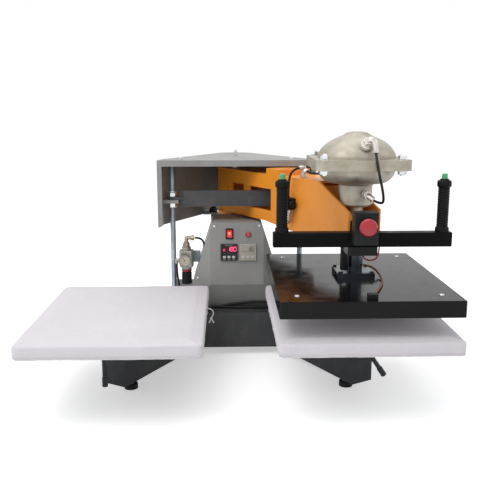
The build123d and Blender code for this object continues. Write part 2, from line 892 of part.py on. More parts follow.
# Drawstring of the left cover: a hanging loop with a knot
string_x = -station_x + cover_half_x - 6.0
string_y = -75.0
string_z = cover_bottom - 1.9
string_points = [
    (string_x, string_y, string_z),
    (string_x + 14, string_y + 2, string_z - 2),
    (string_x + 22, string_y + 4, string_z - 16),
    (string_x + 14, string_y + 6, string_z - 28),
]
drawstring = run_cord("drawstring", string_points, string_radius)
knot_low = (string_x + 13, string_y + 6.4, string_z - 34)
drawstring += faceted_bar(string_points[-1], knot_low, string_knot_radius, cord_sides)
drawstring += faceted_bar(knot_low, (string_x + 20, string_y + 9, string_z - 44), string_radius, cord_sides)
drawstring += faceted_bar(knot_low, (string_x + 8, string_y + 5, string_z - 42), string_radius, cord_sides)
save(drawstring, "drawstring")

# Swing arm, built pointing at the user and turned to the right station


def arm_point(x, reach, z):
    """Point of the turned arm from its own coordinates."""
    turn = math.radians(park_angle)
    gx = x * math.cos(turn) + reach * math.sin(turn)
    gy = x * math.sin(turn) - reach * math.cos(turn)
    return (gx, pivot_y + gy, z)


side_profile = [
    (arm_rear, arm_low_rear),
    (-arm_low_start, arm_low_rear),
    (-arm_low_end, arm_low_front),
    (-arm_end, arm_low_front),
    (-arm_end, arm_nose_top),
    (-arm_nose_start, arm_top),
    (arm_rear, arm_top),
]
inner_half = arm_half_width - arm_plate
arm = prism_x(side_profile, -arm_half_width, -inner_half)
arm += prism_x(side_profile, inner_half, arm_half_width)
arm += box(-inner_half, inner_half, -arm_block_rear, arm_rear, arm_top - arm_plate, arm_top)
arm += box(-inner_half, inner_half, arm_rear - arm_plate, arm_rear, hub_tube_bottom, arm_top)
arm += box(-inner_half, inner_half, -60, arm_rear, arm_low_rear, arm_low_rear + arm_plate)
arm += box(-arm_half_width, arm_half_width, -block_end, -block_start, arm_top, block_top)
arm += rod(hub_ring_radius, hub_ring_bottom, arm_low_rear)
arm += box(
    -inner_half, inner_half, -arm_end, -head_plate_start,
    arm_low_front, arm_low_front + head_plate_thickness,
)
arm += box(-inner_half, inner_half, -arm_end, -mount_start, mount_bottom, mount_bottom + mount_thickness)
arm += box(-inner_half, inner_half, -mount_start, arm_plate - mount_start, mount_bottom, arm_top - arm_plate - 6)
arm -= box(-60, 60, -slot_end, -slot_start, slot_low, slot_high)
arm -= box(-60, 60, -window_end, -window_start, window_low, window_high)
arm += rod(hub_tube_radius, hub_tube_bottom, arm_top)
arm -= rod(bush_radius, hub_ring_bottom - 1, arm_top + 1)
arm -= rod(hub_radius + running_gap, arm_low_front - 1, arm_low_front + head_plate_thickness + 1, 0, -swing_reach)
arm -= rod(push_rod_radius + seat_gap, mount_bottom - 1, mount_bottom + mount_thickness + 1, 0, -swing_reach)
save(arm_place * arm, "swing_arm")

lower_bush = rod(bush_radius, hub_ring_bottom, arm_low_rear + arm_plate)
lower_bush += rod(40.0, hub_ring_bottom - 0.8, hub_ring_bottom)
lower_bush -= rod(pin_radius + running_gap, 360, 400)
upper_bush = rod(bush_radius, arm_top - 40, arm_top) - rod(pin_radius + running_gap, 400, 600)
save(group(arm_place * lower_bush, arm_place * upper_bush), "pivot_bushes")

# Air actuator on the end of the arm, its square flange parallel to the tables
nose_bottom = mount_bottom + mount_thickness
bowl_curve = Spline((neck_radius, 511.0), (47.0, 515.5), (69.0, 518.5), (86.0, 532.0), (dome_radius, flange_bottom))
bowl_outline = make_face(
    Polyline(
        (dome_radius, flange_bottom), (dome_radius, flange_split), (0, flange_split), (0, nose_bottom),
        (nose_radius, nose_bottom), (nose_radius, neck_bottom), (neck_radius - 5, neck_bottom),
        (neck_radius, neck_bottom + 5), (neck_radius, 511.0),
    )
    + bowl_curve
)
bowl = revolve(Plane.XZ * bowl_outline, Axis.Z)


def clamp_flange(low, high):
    """Square flange with clipped corners and four bolt holes."""
    a = flange_half
    b = flange_half - flange_corner
    plate = prism_z([(a, b), (b, a), (-b, a), (-a, b), (-a, -b), (-b, -a), (b, -a), (a, -b)], low, high)
    for sx in (-1, 1):
        for sy in (-1, 1):
            plate -= hexagon(flange_bolt_radius + seat_gap, low - 1, high + 1, sx * flange_hole_offset, sy * flange_hole_offset)
    return plate


bowl += clamp_flange(flange_bottom, flange_split)
bowl -= turned([
    (0, neck_bottom + neck_wall), (neck_radius - neck_wall, neck_bottom + neck_wall),
    (neck_radius - neck_wall, 521.5), (63, 522.5), (dome_radius - dome_wall, 548),
    (dome_radius - dome_wall, flange_split + 1), (0, flange_split + 1),
])
bowl -= rod(push_rod_radius + 0.5, nose_bottom - 1, neck_bottom + neck_wall + 1)
save(head_place * bowl, "actuator_bowl")

dome_curve = Spline(
    (dome_radius, flange_top), (86.0, 594.0), (59.0, 617.0), (31.0, 630.0), (0.0, dome_top),
    tangents=((0, 1), (-1, 0)),
)
dome_outline = make_face(dome_curve + Polyline((0, dome_top), (0, flange_top), (dome_radius, flange_top)))
dome = revolve(Plane.XZ * dome_outline, Axis.Z) + clamp_flange(flange_split + 0.1, flange_top)
cavity = make_face(
    Polyline(
        (dome_radius - dome_wall, flange_split), (dome_radius - dome_wall, 577), (78.0, 595.0), (50.0, 614.0),
        (26.0, 625.5), (0.0, dome_top - dome_wall), (0, flange_split), close=True,
    )
)
dome -= revolve(Plane.XZ * cavity, Axis.Z)
dome -= rod(100.5, flange_split - 1, flange_split + diaphragm_thickness)
port_inner = (6.0, -66.0, 596.0)
port_outer = (7.0, -86.0, 613.0)
dome += faceted_bar(port_inner, port_outer, 11.0) - revolve(Plane.XZ * cavity, Axis.Z)
save(head_place * dome, "actuator_dome")

diaphragm = turned([
    (0, plate_bottom + plate_thickness + 0.2), (58, plate_bottom + plate_thickness + 0.2),
    (76, flange_split + 0.05), (100, flange_split + 0.05), (100, flange_split + diaphragm_thickness - 0.1),
    (78, flange_split + diaphragm_thickness - 0.1), (60, plate_bottom + plate_thickness + 3.2),
    (0, plate_bottom + plate_thickness + 3.2),
])
save(head_place * diaphragm, "diaphragm")

bolts = []
for sx in (-1, 1):
    for sy in (-1, 1):
        bolt = hexagon(flange_bolt_radius, flange_bottom - 12, flange_top + 14)
        bolt += hexagon(flange_nut_radius, flange_top, flange_top + 10)
        bolt += hexagon(flange_nut_radius, flange_bottom - 9, flange_bottom)
        bolts.append(head_place * Pos(sx * flange_hole_offset, sy * flange_hole_offset, 0) * bolt)
save(group(*bolts), "flange_bolts")

spring_top = plate_bottom - 0.5 - spring_wire
spring_low = neck_bottom + neck_wall + 0.5 + spring_wire
spring_sections = []
for index in range(spring_turns * spring_steps + 1):
    turn = 360.0 * index / spring_steps
    rise = (spring_top - spring_low) * index / (spring_turns * spring_steps)
    section = Rectangle(2 * spring_wire, 2 * spring_wire)
    spring_sections.append(Rot(0, 0, turn) * Pos(spring_radius, 0, rise) * Rot(90, 0, 0) * section)
spring = loft(spring_sections, ruled=True)
save(head_place * Pos(0, 0, spring_low) * spring, "return_spring")

# Air fittings on the actuator, the valve side and the arm top
elbow_bend = (23.0, -92.0, 611.0)
elbow_end = (24.0, -99.0, 594.0)
upper_elbow = bent_tube([port_outer, (7.6, -95.0, 621.0), elbow_bend, elbow_end], 6.5)
upper_elbow -= faceted_bar(port_inner, port_outer, 11.0)
neck_port = (14.0, -neck_radius + 4.0, 493.0)
neck_port_end = (18.0, -53.0, 493.0)
neck_elbow_end = (31.0, -62.0, 481.0)
lower_elbow = bent_tube([(15.0, -39.9, 493.0), neck_port_end, neck_elbow_end], 6.5)
lower_elbow -= rod(neck_radius, 400, 520)
tee_reach = 398.0
tee_high = arm_top + 26
tee = hexagon(9.0, arm_top, arm_top + 12, -28, -tee_reach)
tee += bent_tube([(-28, -tee_reach, arm_top + 11), (-28, -tee_reach, tee_high), (-44, -tee_reach, tee_high)], 5.5)
tee += faceted_bar((-28, -tee_reach, arm_top + 18), (-28, -tee_reach - 16, arm_top + 18), 5.5)
tee = arm_place * tee
fittings = [head_place * upper_elbow, head_place * lower_elbow, tee]
save(group(*fittings), "air_fittings")

hose_points = [
    (24.2, -99.6, 593.0),
    (27.0, -120.0, 555.0),
    (48.0, -96.0, 490.0),
    (48.0, -82.0, 474.0),
    (31.6, -62.4, 480.6),
]
hose = head_place * run_cord("actuator hose", hose_points, hose_radius)
valve_reach = 382.0
valve_points = [
    (-44.2, -tee_reach, arm_top + 26),
    (-66.0, -tee_reach + 2, arm_top + 22),
    (-68.0, -valve_reach - 4, arm_top - 16),
    (-64.0, -valve_reach, 466.2),
]
valve_hose = arm_place * run_cord("valve hose", valve_points, hose_radius)
feed_points = [
    (-28.0, -tee_reach - 16.2, arm_top + 18),
    (-27.0, -tee_reach - 42.0, arm_top + 12),
    (-20.0, -swing_reach + 82.0, arm_top + 17),
]
feed_hose = arm_place * run_cord("feed hose", feed_points, hose_radius)
valve = box(-78, -arm_half_width, -valve_reach - 13, -valve_reach + 13, 434, 463)
valve = chamfer(valve.edges().filter_by(Axis.Y), 2.0)
valve += hexagon(5.5, 463, 466, -64, -valve_reach)
valve += faceted_bar((-64, -valve_reach - 13, 449), (-64, -valve_reach - 24, 449), 9.0)
valve = arm_place * valve
silencer = hexagon(7.5, 424, 434, -64, -valve_reach)
silencer += Pos(-64, -valve_reach, 0) * turned([(0, 396), (5.5, 398), (7.0, 404), (7.0, 424), (0, 424)])
save(group(valve, arm_place * silencer), "solenoid_valve")
hoses = []
for piece in (hose, valve_hose, feed_hose):
    for neighbour in (*fittings, valve, head_place * bowl, head_place * dome, arm_place * arm):
        piece = piece - neighbour
    hoses.append(piece.solids().sort_by(SortBy.VOLUME)[-1])
save(group(*hoses), "air_hoses")

# Head hub with its crank, bracket and guide sleeve
hub = rod(hub_radius, hub_bottom, crank_bottom)
hub += rod(hub_collar_radius, arm_low_front + head_plate_thickness + seat_gap, crank_bottom)
hub += crank(shaft_radius, crank_ring_radius)
handle_local = handle_y - head_y
bracket_front = handle_local - handle_depth / 2
hub += box(-bracket_half_width, bracket_half_width, bracket_front, 0, hub_bottom, hub_bottom + bracket_thickness)
hub += box(
    -bracket_half_width, bracket_half_width, bracket_front, bracket_front + handle_depth,
    hub_bottom + bracket_thickness, handle_bottom,
)
hub += rod(guide_sleeve_radius, guide_sleeve_bottom, hub_bottom + bracket_thickness, guide_x, guide_y)
hub -= rod(guide_radius + slide_gap, guide_sleeve_bottom - 1, 380, guide_x, guide_y)
hub -= rod(shaft_radius + slide_gap, hub_bottom - 1, 420)
save(head_place * hub, "head_hub")

handle = box(-handle_half, handle_half, bracket_front, bracket_front + handle_depth, handle_bottom, handle_top)
handle = chamfer(handle.edges().filter_by(Axis.X), 2.0)
handle -= box(
    -handle_half + handle_wall, handle_half - handle_wall,
    bracket_front + handle_wall, bracket_front + handle_depth - handle_wall,
    handle_bottom + handle_wall, handle_top - handle_wall,
)
post_top = handle_top + grip_height - 20.0
for side in (-1, 1):
    handle += rod(grip_core_radius, handle_top - handle_wall, post_top, side * grip_x, handle_local)
save(head_place * handle, "handle_bar")

grip_top = handle_top + grip_height
grip_bore = grip_core_radius + slide_gap
grip_outline = [
    (grip_bore, handle_top), (grip_radius + 1.5, handle_top), (grip_radius + 1.5, handle_top + 9),
    (grip_radius, handle_top + 12),
]
rib_pitch = (grip_height - 30.0) / grip_rib_count
for index in range(grip_rib_count):
    low = handle_top + 12 + index * rib_pitch
    valley = grip_radius - grip_rib_depth
    grip_outline += [(valley, low + rib_pitch / 2), (grip_radius, low + rib_pitch)]
grip_outline += [
    (grip_flange_radius, grip_top - 13), (grip_flange_radius, grip_top), (grip_bore, grip_top),
]
grip_solids = []
bezel_high = grip_top + 3.0
rings = [RegularPolygon(radius, grip_sides) for radius, z in grip_outline[1:-1]]
placed = [Pos(0, 0, z) * ring for ring, (radius, z) in zip(rings, grip_outline[1:-1])]
for side in (-1, 1):
    grip = loft(placed, ruled=True) - rod(grip_bore, handle_top - 1, grip_top + 1)
    bezel = rod(bezel_radius, grip_top - 8, bezel_high) - rod(button_radius + slide_gap, post_top, bezel_high + 1)
    grip_solids.append(head_place * Pos(side * grip_x, handle_local, 0) * (grip + bezel))
save(group(*grip_solids), "grips")
for side, name in ((-1, "left_start_button"), (1, "right_start_button")):
    button = rod(button_radius, grip_top - 12, grip_top + button_height)
    button = chamfer(button.edges().sort_by(Axis.Z)[-1:], 2.0)
    save(head_place * Pos(side * grip_x, handle_local, 0) * button, name)

# Emergency stop
stop_front = bracket_front - stop_depth
stop_box = box(-stop_half, stop_half, stop_front, bracket_front, stop_bottom, stop_top)
stop_box = chamfer(stop_box.edges().filter_by(Axis.Z), 2.0)
stop_box -= box(
    -stop_half + stop_wall, stop_half - stop_wall, stop_front + stop_wall, bracket_front - stop_wall,
    stop_bottom + stop_wall, stop_top - stop_wall,
)
collar_front = stop_front - stop_collar_depth
stop_box += bar_between((0, stop_front, stop_cap_z), (0, collar_front, stop_cap_z), stop_collar_radius)
stem_hole = stop_stem_radius + slide_gap
stop_bore = bar_between((0, stop_front + 5, stop_cap_z), (0, collar_front - 1, stop_cap_z), stem_hole)
stop_box -= stop_bore
for sx in (-1, 1):
    stop_box += faceted_bar((sx * 20, stop_front, 458), (sx * 20, stop_front - 1.5, 458), 3.0)
save(head_place * stop_box, "emergency_stop_box")
cap_back = collar_front - stop_travel - 0.5
cap = turned([
    (0, -20), (stop_stem_radius, -20), (stop_stem_radius, 0), (stop_cap_radius - 1, 0),
    (stop_cap_radius, 7), (stop_cap_radius - 3, 12), (0, 15),
])
save(head_place * Pos(0, cap_back, stop_cap_z) * Rot(90, 0, 0) * cap, "emergency_stop_cap")

lead_points = [(41, -95, 379.8), (41, -95, 352), (27, -66, 338), (14, -40, 340), (14, -40, 359.8)]
save(head_place * run_cord("red lead", lead_points, lead_radius), "red_lead")

# Press shaft with its square flange, push plate and guide rod
flange_high = platen_top + shaft_flange_thickness
shaft = rod(shaft_radius, platen_top, shaft_top)
shaft += box(-shaft_flange_half, shaft_flange_half, -shaft_flange_half, shaft_flange_half, platen_top, flange_high)
for sx in (-1, 1):
    for sy in (-1, 1):
        bolt_x = sx * shaft_bolt_offset
        bolt_y = sy * shaft_bolt_offset
        shaft += hexagon(shaft_bolt_radius, flange_high, flange_high + shaft_bolt_head, bolt_x, bolt_y)
shaft -= rod(guide_radius, platen_top - 1, flange_high + 1, guide_x, guide_y)
shaft += rod(push_rod_radius, shaft_top, plate_bottom)
shaft += rod(plate_radius, plate_bottom, plate_bottom + plate_thickness)
save(head_place * shaft, "press_shaft")
save(head_place * rod(guide_radius, platen_top, guide_top, guide_x, guide_y), "guide_rod")

# Platen: glossy casing, insulation, heat plate and screws
casing = box(-platen_half_x, platen_half_x, -platen_half_y, platen_half_y, platen_bottom, platen_top)
casing = chamfer(casing.edges().filter_by(Axis.Z), 3.0)
casing = chamfer(casing.faces().sort_by(Axis.Z)[-1].edges(), 1.5)
casing -= box(
    -platen_half_x + casing_wall, platen_half_x - casing_wall,
    -platen_half_y + casing_wall, platen_half_y - casing_wall,
    platen_bottom - 1, platen_top - casing_wall,
)
heat_top = platen_bottom + heat_plate_thickness
heat_half_x = platen_half_x - casing_wall - heat_plate_gap
heat_half_y = platen_half_y - casing_wall - heat_plate_gap
heat_plate = box(-heat_half_x, heat_half_x, -heat_half_y, heat_half_y, platen_bottom, heat_top)
groove_half = heat_half_y - 20.0
for index in range(element_count):
    groove_x = (index - (element_count - 1) / 2) * element_pitch
    heat_plate -= box(
        groove_x - element_width / 2, groove_x + element_width / 2, -groove_half, groove_half,
        heat_top - element_depth, heat_top + 1,
    )
wool = box(-heat_half_x, heat_half_x, -heat_half_y, heat_half_y, heat_top, platen_top - casing_wall - seat_gap)
screws = []
for sx in (-1, 1):
    for sy in (-1, 1):
        x = sx * platen_screw_x
        y = sy * platen_screw_y
        casing -= hexagon(platen_screw_radius + seat_gap, platen_top - 10, platen_top + 1, x, y)
        wool -= hexagon(platen_screw_radius + seat_gap, heat_top - 1, platen_top, x, y)
        heat_plate -= hexagon(platen_screw_radius, heat_top - 8, heat_top + 1, x, y)
        screw = hexagon(platen_screw_radius, heat_top - 8, platen_top + 1)
        screw += Pos(0, 0, platen_top) * extrude(RegularPolygon(platen_screw_head_radius, 12), amount=platen_screw_head)
        screws.append(head_place * Pos(x, y, 0) * screw)
save(head_place * casing, "platen_casing")
save(head_place * heat_plate, "heat_plate")
save(head_place * wool, "platen_insulation")
save(group(*screws), "platen_screws")
cable_z = platen_top + 3.0
cable_points = [
    (23.2, -4.0, 315.0),
    (46.0, -10.0, 313.0),
    (62.0, -34.0, cable_z + 0.2),
    (48.0, -120.0, cable_z + 0.2),
    (8.0, -206.0, cable_z + 0.2),
]
save(head_place * run_cord("heater cable", cable_points, heater_cable_radius), "heater_cable")
gland = box(-8, 14, -226, -208, platen_top, platen_top + 9)
gland = chamfer(gland.edges().filter_by(Axis.Z), 2.0)
gland -= faceted_bar((14.0, -192.0, cable_z + 0.2), (4.0, -215.0, cable_z + 0.2), 3.2, cord_sides)
save(head_place * gland, "cable_gland")

# Cables lying on the base box, thin air line and the hose loop of the regulator
base_cable_a = [
    (-75.0, 84.0, base_top + cable_radius + 0.2),
    (0.0, 72.0, base_top + cable_radius + 0.2),
    (100.0, 66.0, base_top + cable_radius + 0.2),
    (170.0, 92.0, base_top + cable_radius + 0.2),
]
base_cable_b = [
    (-40.0, 92.0, base_top + cable_radius + 0.2),
    (45.0, 84.0, base_top + cable_radius + 16),
    (110.0, 82.0, base_top + cable_radius + 8),
    (168.0, 108.0, base_top + cable_radius + 0.2),
]
cable_a = run_cord("base cable a", base_cable_a, cable_radius)
cable_b = run_cord("base cable b", base_cable_b, cable_radius)
save(group(cable_a, cable_b), "base_cables")
loop_points = [
    (regulator_x + 24.6, regulator_y, stem_top + 26),
    (regulator_x + 46.0, regulator_y, stem_top + 26),
    (regulator_x + 54.0, regulator_y, stem_top - 2),
    (regulator_x + 54.0, regulator_y, stem_top - 40),
]
line_points = [
    (port_x, port_y, port_z - 10.2),
    (port_x, port_y, port_z - 40),
    (port_x + 8, port_y - 8, port_z - 80),
    (port_x + 14, port_y - 6, base_top + 1.5),
]
air_loop = run_cord("regulator loop", loop_points, hose_radius) - box_shell(-0.1)
air_line = run_cord("air line", line_points, hose_radius)
save(group(air_loop.solids().sort_by(SortBy.VOLUME)[-1], air_line), "regulator_hoses")
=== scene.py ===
import bmesh
import bpy
import json
import math
from mathutils import Matrix, Vector, noise


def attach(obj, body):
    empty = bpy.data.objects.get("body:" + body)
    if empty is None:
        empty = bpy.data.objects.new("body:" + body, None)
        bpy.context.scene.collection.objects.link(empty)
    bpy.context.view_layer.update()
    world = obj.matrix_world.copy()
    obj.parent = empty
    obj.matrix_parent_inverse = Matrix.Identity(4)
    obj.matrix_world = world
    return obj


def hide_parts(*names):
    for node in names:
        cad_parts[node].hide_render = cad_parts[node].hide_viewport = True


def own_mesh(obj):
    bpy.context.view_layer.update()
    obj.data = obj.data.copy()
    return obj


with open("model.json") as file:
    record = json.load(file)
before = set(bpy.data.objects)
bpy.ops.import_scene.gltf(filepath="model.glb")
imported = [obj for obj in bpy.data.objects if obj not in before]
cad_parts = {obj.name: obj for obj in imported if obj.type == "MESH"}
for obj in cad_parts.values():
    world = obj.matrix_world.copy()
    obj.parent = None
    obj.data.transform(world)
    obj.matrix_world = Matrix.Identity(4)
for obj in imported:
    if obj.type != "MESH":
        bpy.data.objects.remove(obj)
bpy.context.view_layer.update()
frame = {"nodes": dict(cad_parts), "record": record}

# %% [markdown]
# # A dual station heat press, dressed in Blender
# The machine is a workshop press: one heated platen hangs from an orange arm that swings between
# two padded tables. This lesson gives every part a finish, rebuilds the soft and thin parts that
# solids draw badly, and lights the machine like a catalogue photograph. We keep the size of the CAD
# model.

nodes = frame["nodes"]
slot_of = {part["node"]: part["material_slot"] for part in frame["record"]["subparts"]}

# %% [markdown]
# # Camera
# The photograph was taken from a little above the tables and almost straight in front. The camera
# below has the place, tilt and focal length that line the model up with it: 11.5 degrees down,
# 1.7 degrees to the right. A shift of the picture would also work, but a plain tilted camera is
# what a photographer would use.

# %% Camera
camera_data = bpy.data.cameras.new("camera")
camera = bpy.data.objects.new("camera", camera_data)
bpy.context.collection.objects.link(camera)
camera.location = (-0.028, -1.805, 0.679)
camera.rotation_euler = (math.radians(78.5), 0, math.radians(-1.69))
sensor, focal_pixels, picture_height = 36, 672, 500
camera_data.lens = sensor * focal_pixels / picture_height
camera_data.sensor_width = sensor
camera_data.sensor_height = sensor
camera_data.sensor_fit = "VERTICAL"
bpy.context.scene.camera = camera
bpy.context.scene.view_settings.view_transform = "Standard"
print("focal length", round(camera_data.lens, 2), "mm")

# %% [markdown]
# # Sky
# The sky lights the machine evenly, at a plain level, and looks white to the camera and to shiny
# metal. One strength can't do both: a sky bright enough to be white would wash the colours out. So
# Light Path picks between two backgrounds, one for light and one for what is seen or mirrored.

# %% Sky
world = bpy.data.worlds.new("studio")
bpy.context.scene.world = world
world.use_nodes = True
sky = world.node_tree.nodes
links = world.node_tree.links
sky.clear()
seen = sky.new("ShaderNodeBackground")
seen.inputs["Color"].default_value = (1, 1, 1, 1)
seen.inputs["Strength"].default_value = 1.0
lit = sky.new("ShaderNodeBackground")
lit.inputs["Color"].default_value = (0.97, 0.98, 1.0, 1)
lit.inputs["Strength"].default_value = 0.6
path = sky.new("ShaderNodeLightPath")
pick = sky.new("ShaderNodeMixShader")
out = sky.new("ShaderNodeOutputWorld")
either = sky.new("ShaderNodeMath")
either.operation = "MAXIMUM"
mirrored = sky.new("ShaderNodeMath")
mirrored.operation = "MAXIMUM"
links.new(path.outputs["Is Glossy Ray"], mirrored.inputs[0])
links.new(path.outputs["Is Transmission Ray"], mirrored.inputs[1])
links.new(path.outputs["Is Camera Ray"], either.inputs[0])
links.new(mirrored.outputs[0], either.inputs[1])
links.new(either.outputs[0], pick.inputs[0])
links.new(lit.outputs[0], pick.inputs[1])
links.new(seen.outputs[0], pick.inputs[2])
links.new(pick.outputs[0], out.inputs["Surface"])
print("sky lights at", round(lit.inputs["Strength"].default_value, 2))

# %% [markdown]
# # Lamps and floor
# The light is soft: a large key lamp high at the front left, a second one above the back, and a
# weak one at each side. A single hard lamp would give black shadows that the photograph doesn't
# have. The floor is one large pale sheet just below the feet.


# %% Lamps
def lamp(name, place, size, power, aim=(0.0, 0.0, 0.3)):
    """A soft square lamp aimed at one point."""
    data = bpy.data.lights.new(name, "AREA")
    data.size = size
    data.energy = power
    item = bpy.data.objects.new(name, data)
    bpy.context.collection.objects.link(item)
    item.location = place
    item.rotation_euler = (Vector(aim) - Vector(place)).to_track_quat("-Z", "Y").to_euler()


lamp("key", (-1.1, -1.3, 2.5), 1.8, 34)
lamp("left", (-2.4, -1.0, 1.1), 1.2, 4)
lamp("right", (2.2, -0.6, 1.4), 1.2, 5)
lamp("top", (0.1, 0.7, 2.8), 2.0, 16)
print("lamps", len(bpy.data.lights))

# %% Floor
floor_mesh = bpy.data.meshes.new("floor")
floor_mesh.from_pydata([(-8, -8, 0), (8, -8, 0), (8, 8, 0), (-8, 8, 0)], [], [(0, 1, 2, 3)])
floor = bpy.data.objects.new("floor", floor_mesh)
bpy.context.collection.objects.link(floor)
floor.location.z = -0.0005
print("floor", [round(side) for side in floor.dimensions[:2]], "m")

# %% [markdown]
# # Finishes
# Every finish below is built from noise in the object's own space, so it stays with the part when
# the part moves and has the same grain size on a small screw and a large plate. Image textures
# would be quicker but they stretch over the CAD faces, which have no unwrapping.
# A helper starts each material, and five recipes cover the machine: paint, bare metal, cast metal,
# moulded plastic and cloth. Each recipe varies colour, roughness and height a little, because a
# surface with one even value looks like a drawing.

# %% Helpers for node materials
materials = {}


class Shader:
    """One Principled material with the object's own coordinates at hand."""

    def __init__(self, name, rough, metallic=0.0):
        self.material = bpy.data.materials.new(name)
        self.material.use_nodes = True
        self.nodes = self.material.node_tree.nodes
        self.links = self.material.node_tree.links
        self.surface = self.nodes["Principled BSDF"]
        self.surface.inputs["Metallic"].default_value = metallic
        self.surface.inputs["Roughness"].default_value = rough
        self.space = self.nodes.new("ShaderNodeTexCoord").outputs["Object"]
        materials[name] = self.material

    def scaled(self, scale):
        """Object coordinates multiplied by (x, y, z)."""
        node = self.nodes.new("ShaderNodeMapping")
        node.inputs["Scale"].default_value = scale
        self.links.new(self.space, node.inputs["Vector"])
        return node.outputs["Vector"]

    def noise(self, scale, detail=4.0, stretch=(1, 1, 1), roughness=0.55):
        node = self.nodes.new("ShaderNodeTexNoise")
        node.inputs["Scale"].default_value = scale
        node.inputs["Detail"].default_value = detail
        node.inputs["Roughness"].default_value = roughness
        self.links.new(self.scaled(stretch), node.inputs["Vector"])
        return node.outputs["Fac"]

    def map(self, value, low, high, start=0.3, end=0.7):
        """Carries a noise value from start..end to low..high."""
        node = self.nodes.new("ShaderNodeMapRange")
        node.inputs["From Min"].default_value = start
        node.inputs["From Max"].default_value = end
        node.inputs["To Min"].default_value = low
        node.inputs["To Max"].default_value = high
        self.links.new(value, node.inputs["Value"])
        return node.outputs["Result"]

    def mix(self, value, first, second):
        """Blends two colours by a value."""
        node = self.nodes.new("ShaderNodeMix")
        node.data_type = "RGBA"
        for socket, colour in ((6, first), (7, second)):
            if isinstance(colour, bpy.types.NodeSocket):
                self.links.new(colour, node.inputs[socket])
            else:
                node.inputs[socket].default_value = (*colour, 1)
        self.links.new(value, node.inputs[0])
        return node.outputs[2]

    def math(self, kind, first, second):
        node = self.nodes.new("ShaderNodeMath")
        node.operation = kind
        for socket, value in ((0, first), (1, second)):
            if isinstance(value, bpy.types.NodeSocket):
                self.links.new(value, node.inputs[socket])
            else:
                node.inputs[socket].default_value = value
        return node.outputs[0]

    def bump(self, height, strength, distance=0.0004):
        node = self.nodes.new("ShaderNodeBump")
        node.inputs["Strength"].default_value = strength
        node.inputs["Distance"].default_value = distance
        self.links.new(height, node.inputs["Height"])
        self.links.new(node.outputs["Normal"], self.surface.inputs["Normal"])

    def colour(self, socket):
        self.links.new(socket, self.surface.inputs["Base Color"])

    def rough(self, socket):
        self.links.new(socket, self.surface.inputs["Roughness"])


def shade(colour, factor):
    return tuple(min(1.0, channel * factor) for channel in colour)


print("shader helper ready")

# %% [markdown]
# # Paint
# Most of the machine is powder coated: grey on the housing and panel, amber on the arm, black on
# the legs and handle. Powder coat has a faint orange peel, a slow drift in tone, some dust and a
# few small dark chips. Orange peel is a fine bump, the drift is a wide noise, and the chips are the
# peaks of a sharp one, kept rare. Most black parts get a low specular level, because a full one
# would mirror the white room and turn them grey.


# %% Paint recipe
def paint(name, colour, rough, peel=700, peel_depth=0.10, drift=0.10, dust=0.0, chips=0.0, specular=0.5):
    """Powder coat: drift in tone, dust, chips and orange peel."""
    s = Shader(name, rough)
    s.surface.inputs["Specular IOR Level"].default_value = specular
    tone = s.mix(s.map(s.noise(7, 5), 0, 1), shade(colour, 1 - drift), shade(colour, 1 + drift))
    if dust:
        spots = s.map(s.noise(38, 8, (1, 1, 0.6)), 0, dust, 0.5, 0.85)
        tone = s.mix(spots, tone, (0.55, 0.53, 0.50))
    if chips:
        worn = s.map(s.noise(120, 3), 0, chips, 0.70, 0.72)
        tone = s.mix(worn, tone, shade(colour, 0.35))
    s.colour(tone)
    s.rough(s.map(s.noise(24, 6), rough - 0.07, rough + 0.10))
    s.bump(s.noise(peel, 2), peel_depth)


# %% Painted finishes
paint("housing_paint", (0.29, 0.29, 0.28), 0.44, dust=0.22, chips=0.5, specular=0.4)
paint("panel_paint", (0.30, 0.30, 0.29), 0.50, peel=420, peel_depth=0.30, dust=0.10)
paint("base_paint", (0.042, 0.043, 0.045), 0.45, dust=0.08, specular=0.35)
paint("frame_paint", (0.018, 0.020, 0.024), 0.40, dust=0.04, chips=0.3, specular=0.25)
paint("arm_paint", (0.84, 0.29, 0.020), 0.34, peel=520, peel_depth=0.12, drift=0.07, dust=0.04, chips=0.6)
paint("bar_paint", (0.066, 0.066, 0.068), 0.48, dust=0.10, specular=0.3)
paint("column_steel", (0.05, 0.05, 0.055), 0.40, dust=0.08)
paint("black_steel", (0.006, 0.006, 0.007), 0.30, dust=0.01, specular=0.2)
paint("handle_paint", (0.004, 0.004, 0.0045), 0.40, peel=600, chips=0.3, specular=0.07)
paint("casing_gloss", (0.006, 0.006, 0.0065), 0.13, peel=260, peel_depth=0.04, drift=0.2, specular=0.13)
print("painted finishes", len(materials))

# %% [markdown]
# # Metal
# Bare metal shows how it was made. Turned and drawn steel has fine lines along one direction, cast
# aluminium has a grainy skin with pits, and brass has dull patches where it was handled. The lines
# come from a noise drawn out along one axis; the pits come from cell noise.


# %% Turned and drawn metal
def metal(name, colour, rough, stretch=(1, 1, 0.04), grain=900, depth=0.06, drift=0.12):
    """Bare metal whose fine lines run along the axis with the smallest stretch value."""
    s = Shader(name, rough, 1.0)
    lines = s.noise(grain, 3, stretch)
    s.colour(s.mix(s.map(s.noise(18, 6), 0, 1), shade(colour, 1 - drift), shade(colour, 1 + drift)))
    wear = s.math("ADD", s.math("MULTIPLY", lines, 0.5), s.math("MULTIPLY", s.noise(30, 5), 0.5))
    s.rough(s.map(wear, rough - 0.08, rough + 0.12))
    s.bump(lines, depth)


